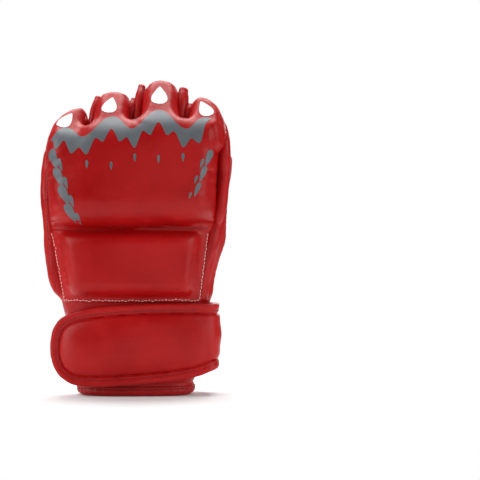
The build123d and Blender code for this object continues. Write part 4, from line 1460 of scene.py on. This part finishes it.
THUMB_BASE = np.array([44.0, 19.0, 104.0])
THUMB_AXIS = unit((0.11, 0.27, 0.957))
THUMB_OUT = unit(np.cross((0, 1, 0), THUMB_AXIS))
THUMB_FRONT = np.cross(THUMB_AXIS, THUMB_OUT)
THUMB_TIP = 86.0  # how far along the thumb its sleeve ends


def thumb_point(angle, along, grow=0.0):
    """Point on the thumb's outside: angle 0 is away from the fingers, and a quarter turn is the palm side."""
    angle, along, grow = np.broadcast_arrays(*[np.asarray(v, float) for v in (angle, along, grow)])
    radius = 15.5 - 2.5 * along / THUMB_TIP + grow
    root = np.maximum(6 - along, 0)
    radius = radius - 0.0125 * root**2
    offset = np.cos(angle)[..., None] * THUMB_OUT + np.sin(angle)[..., None] * THUMB_FRONT
    sink = root[..., None] ** 2 * np.array([-0.004, -0.017, 0])
    return THUMB_BASE + along[..., None] * THUMB_AXIS + radius[..., None] * offset + sink


def thumb_sleeve():
    """Leather tube of the thumb, gathered at its root."""
    down, t = shares(100, 72, closed=True)
    along, angle = -22 + 107.5 * down, 2 * pi * t
    places = np.stack([np.cos(angle).ravel() * 16, np.sin(angle).ravel() * 16, along.ravel()], -1)
    crumple = bumps(places * (1, 1, 1.6), 10.0, 101).reshape(angle.shape)
    gather = 0.55 * np.sin(angle * 15 + 1.5 * np.sin(angle * 2)) * gauss(along - 17, 7)
    rings = 0.8 * np.sin(along * 0.55 + 1.2 * np.cos(angle)) * gauss(along - 20, 12)
    grow = 0.9 * crumple + gather + rings - 1.2 * gauss(along - 17, 5)
    grow = grow * smooth((85 - along) / 8)
    outer, inner = thumb_point(angle, along, grow), thumb_point(angle, along, grow - 2.0)
    sleeve = shell("thumb_sleeve", outer, inner, SOFT_RED, wrap=True)
    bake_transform(sleeve)
    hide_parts("thumb_sleeve", "thumb_base_ring")


# Section of the binding round the sleeve's end: distance out and distance past the end.
THUMB_FOLD = (
    (-2.9, -4.6), (-3.1, -2.0), (-2.6, 0.2), (-1.0, 1.2), (0.6, 0.6), (1.2, -1.0), (1.15, -3.4),
    (0.5, -5.0), (-0.6, -5.2),
)


def thumb_binding():
    """Tape folded round the end of the sleeve."""
    turn = np.linspace(0, 2 * pi, 90, endpoint=False)
    wave = 0.12 * np.sin(turn * 23)
    rim = [thumb_point(turn, THUMB_TIP + a, g + wave * (g > 0.4)) for g, a in THUMB_FOLD]
    binding = hoop("thumb_binding", np.stack(rim, 1), BINDING)
    settle(binding, "thumb", "red_binding", "thumb_binding")
    turn, seam = np.linspace(0, 2 * pi, 200), THUMB_TIP - 3.1
    path = thumb_point(turn, seam, 1.25)
    away = path - thumb_point(turn, seam, -8)
    sew("thumb_binding_stitches", "thumb", "red_binding", path, away, 3.0, 2.1, 0.28, 0.1, 16)


def thumb_pad_place(flat, grow):
    """Point on the back of the thumb from its place on the pad's flat drawing."""
    return thumb_point(flat[:, 0] / 15 + 0.24, flat[:, 1], grow)


def thumb_pad():
    """Small pad on the back of the thumb, with stitches round it."""
    outline = soften(even_path([(-12, 32), (12, 32), (12, 79), (-12, 79)], 1.4, closed=True), 14)

    def top(flat, distance):
        lift = 0.6 + 4.6 * round_edge(distance / 6.5) + 0.3 * bumps(flat, 12.0, 103) * smooth(distance / 5)
        return thumb_pad_place(flat, lift - 0.5 * gauss(distance - 1.2, 0.5))

    def bottom(flat, distance):
        return thumb_pad_place(flat, -0.8)

    pad = filled("thumb_pad", outline, 2.0, (0.4, 1.2, 2.2, 3.6), top, bottom, RED)
    settle(pad, "thumb", "red_leather", "thumb_pad_cover", "thumb_pad_foam")
    path = soften(even_path(outline * (1.14, 1), 0.6, closed=True), 4)
    path = (path - (0, 55.5)) * (1, 1.06) + (0, 55.5)
    path = np.vstack([path, path[:1]])
    outside = thumb_pad_place(path, 0.6)
    away = outside - thumb_pad_place(path, -9)
    sew("thumb_pad_stitches", "thumb", "red_leather", outside, away, 2.9, 2.1, 0.28, 0.1, 17)


thumb_sleeve()
thumb_binding()
thumb_pad()

# ---------------------------------------------------------------- stage, light and camera


def stage():
    """White paper floor and white surroundings."""
    material, _, shader, _ = blank("floor_paper")
    shader.inputs["Base Color"].default_value = (0.86, 0.86, 0.86, 1)
    shader.inputs["Roughness"].default_value = 0.95
    shader.inputs["Specular IOR Level"].default_value = 0.0
    shader.inputs["Emission Color"].default_value = (1, 1, 1, 1)
    shader.inputs["Emission Strength"].default_value = 0.02
    turn = np.linspace(0, 2 * pi, 96, endpoint=False)
    rim = 480 * np.stack([np.cos(turn), np.sin(turn), 0 * turn], -1)
    floor = piece("floor", rim, [range(len(rim))], material)

    world = bpy.data.worlds.new("studio")
    bpy.context.scene.world = world
    world.use_nodes = True
    tree = world.node_tree
    ray = tree.nodes.new("ShaderNodeLightPath").outputs["Is Camera Ray"]
    background = tree.nodes["Background"]
    background.inputs["Color"].default_value = (1, 1, 1, 1)
    link(tree, spread(tree, ray, 0.15, 1.0), background.inputs["Strength"])


def soft_light(name, place, target, size, power):
    """Rectangular lamp that faces its target. Places and sizes are in metres."""
    data = bpy.data.lights.new(name, "AREA")
    data.shape = "RECTANGLE"
    data.size, data.size_y = size
    data.energy = power
    lamp = bpy.data.objects.new(name, data)
    bpy.context.scene.collection.objects.link(lamp)
    lamp.location = place
    lamp.rotation_euler = (Vector(target) - Vector(place)).to_track_quat("-Z", "Y").to_euler()


def camera():
    """Level camera far in front, set off to the side as in the photo, where the glove is on the left."""
    distance, scene_x, scene_z = 1.75, 0.079, 0.1193
    seen_width, glove_front = 0.3648, 0.035
    data = bpy.data.cameras.new("camera")
    data.sensor_width = 36
    data.lens = data.sensor_width * (distance - glove_front) / seen_width
    data.clip_end = 50
    obj = bpy.data.objects.new("camera", data)
    bpy.context.scene.collection.objects.link(obj)
    obj.location = (scene_x, -distance, scene_z + 0.009)
    look = Vector((scene_x, -0.03, scene_z)) - obj.location
    obj.rotation_euler = look.to_track_quat("-Z", "Y").to_euler()
    bpy.context.scene.camera = obj


stage()
soft_light("front_softbox", (0.25, -1.3, 0.12), (0, 0, 0.08), (0.9, 0.35), 1.3)
soft_light("left_softbox", (-1.25, -0.55, 0.6), (0, 0, 0.12), (0.8, 1.3), 15.5)
soft_light("right_softbox", (1.25, -0.55, 0.55), (0, 0, 0.12), (0.8, 1.3), 11.5)
soft_light("top_softbox", (0.0, 0.45, 1.3), (0, 0, 0.0), (1.1, 0.9), 25)
soft_light("back_softbox", (0.0, 1.5, 0.6), (0, 0, 0.12), (1.3, 0.8), 9)
camera()
bpy.context.scene.view_settings.view_transform = "Standard"
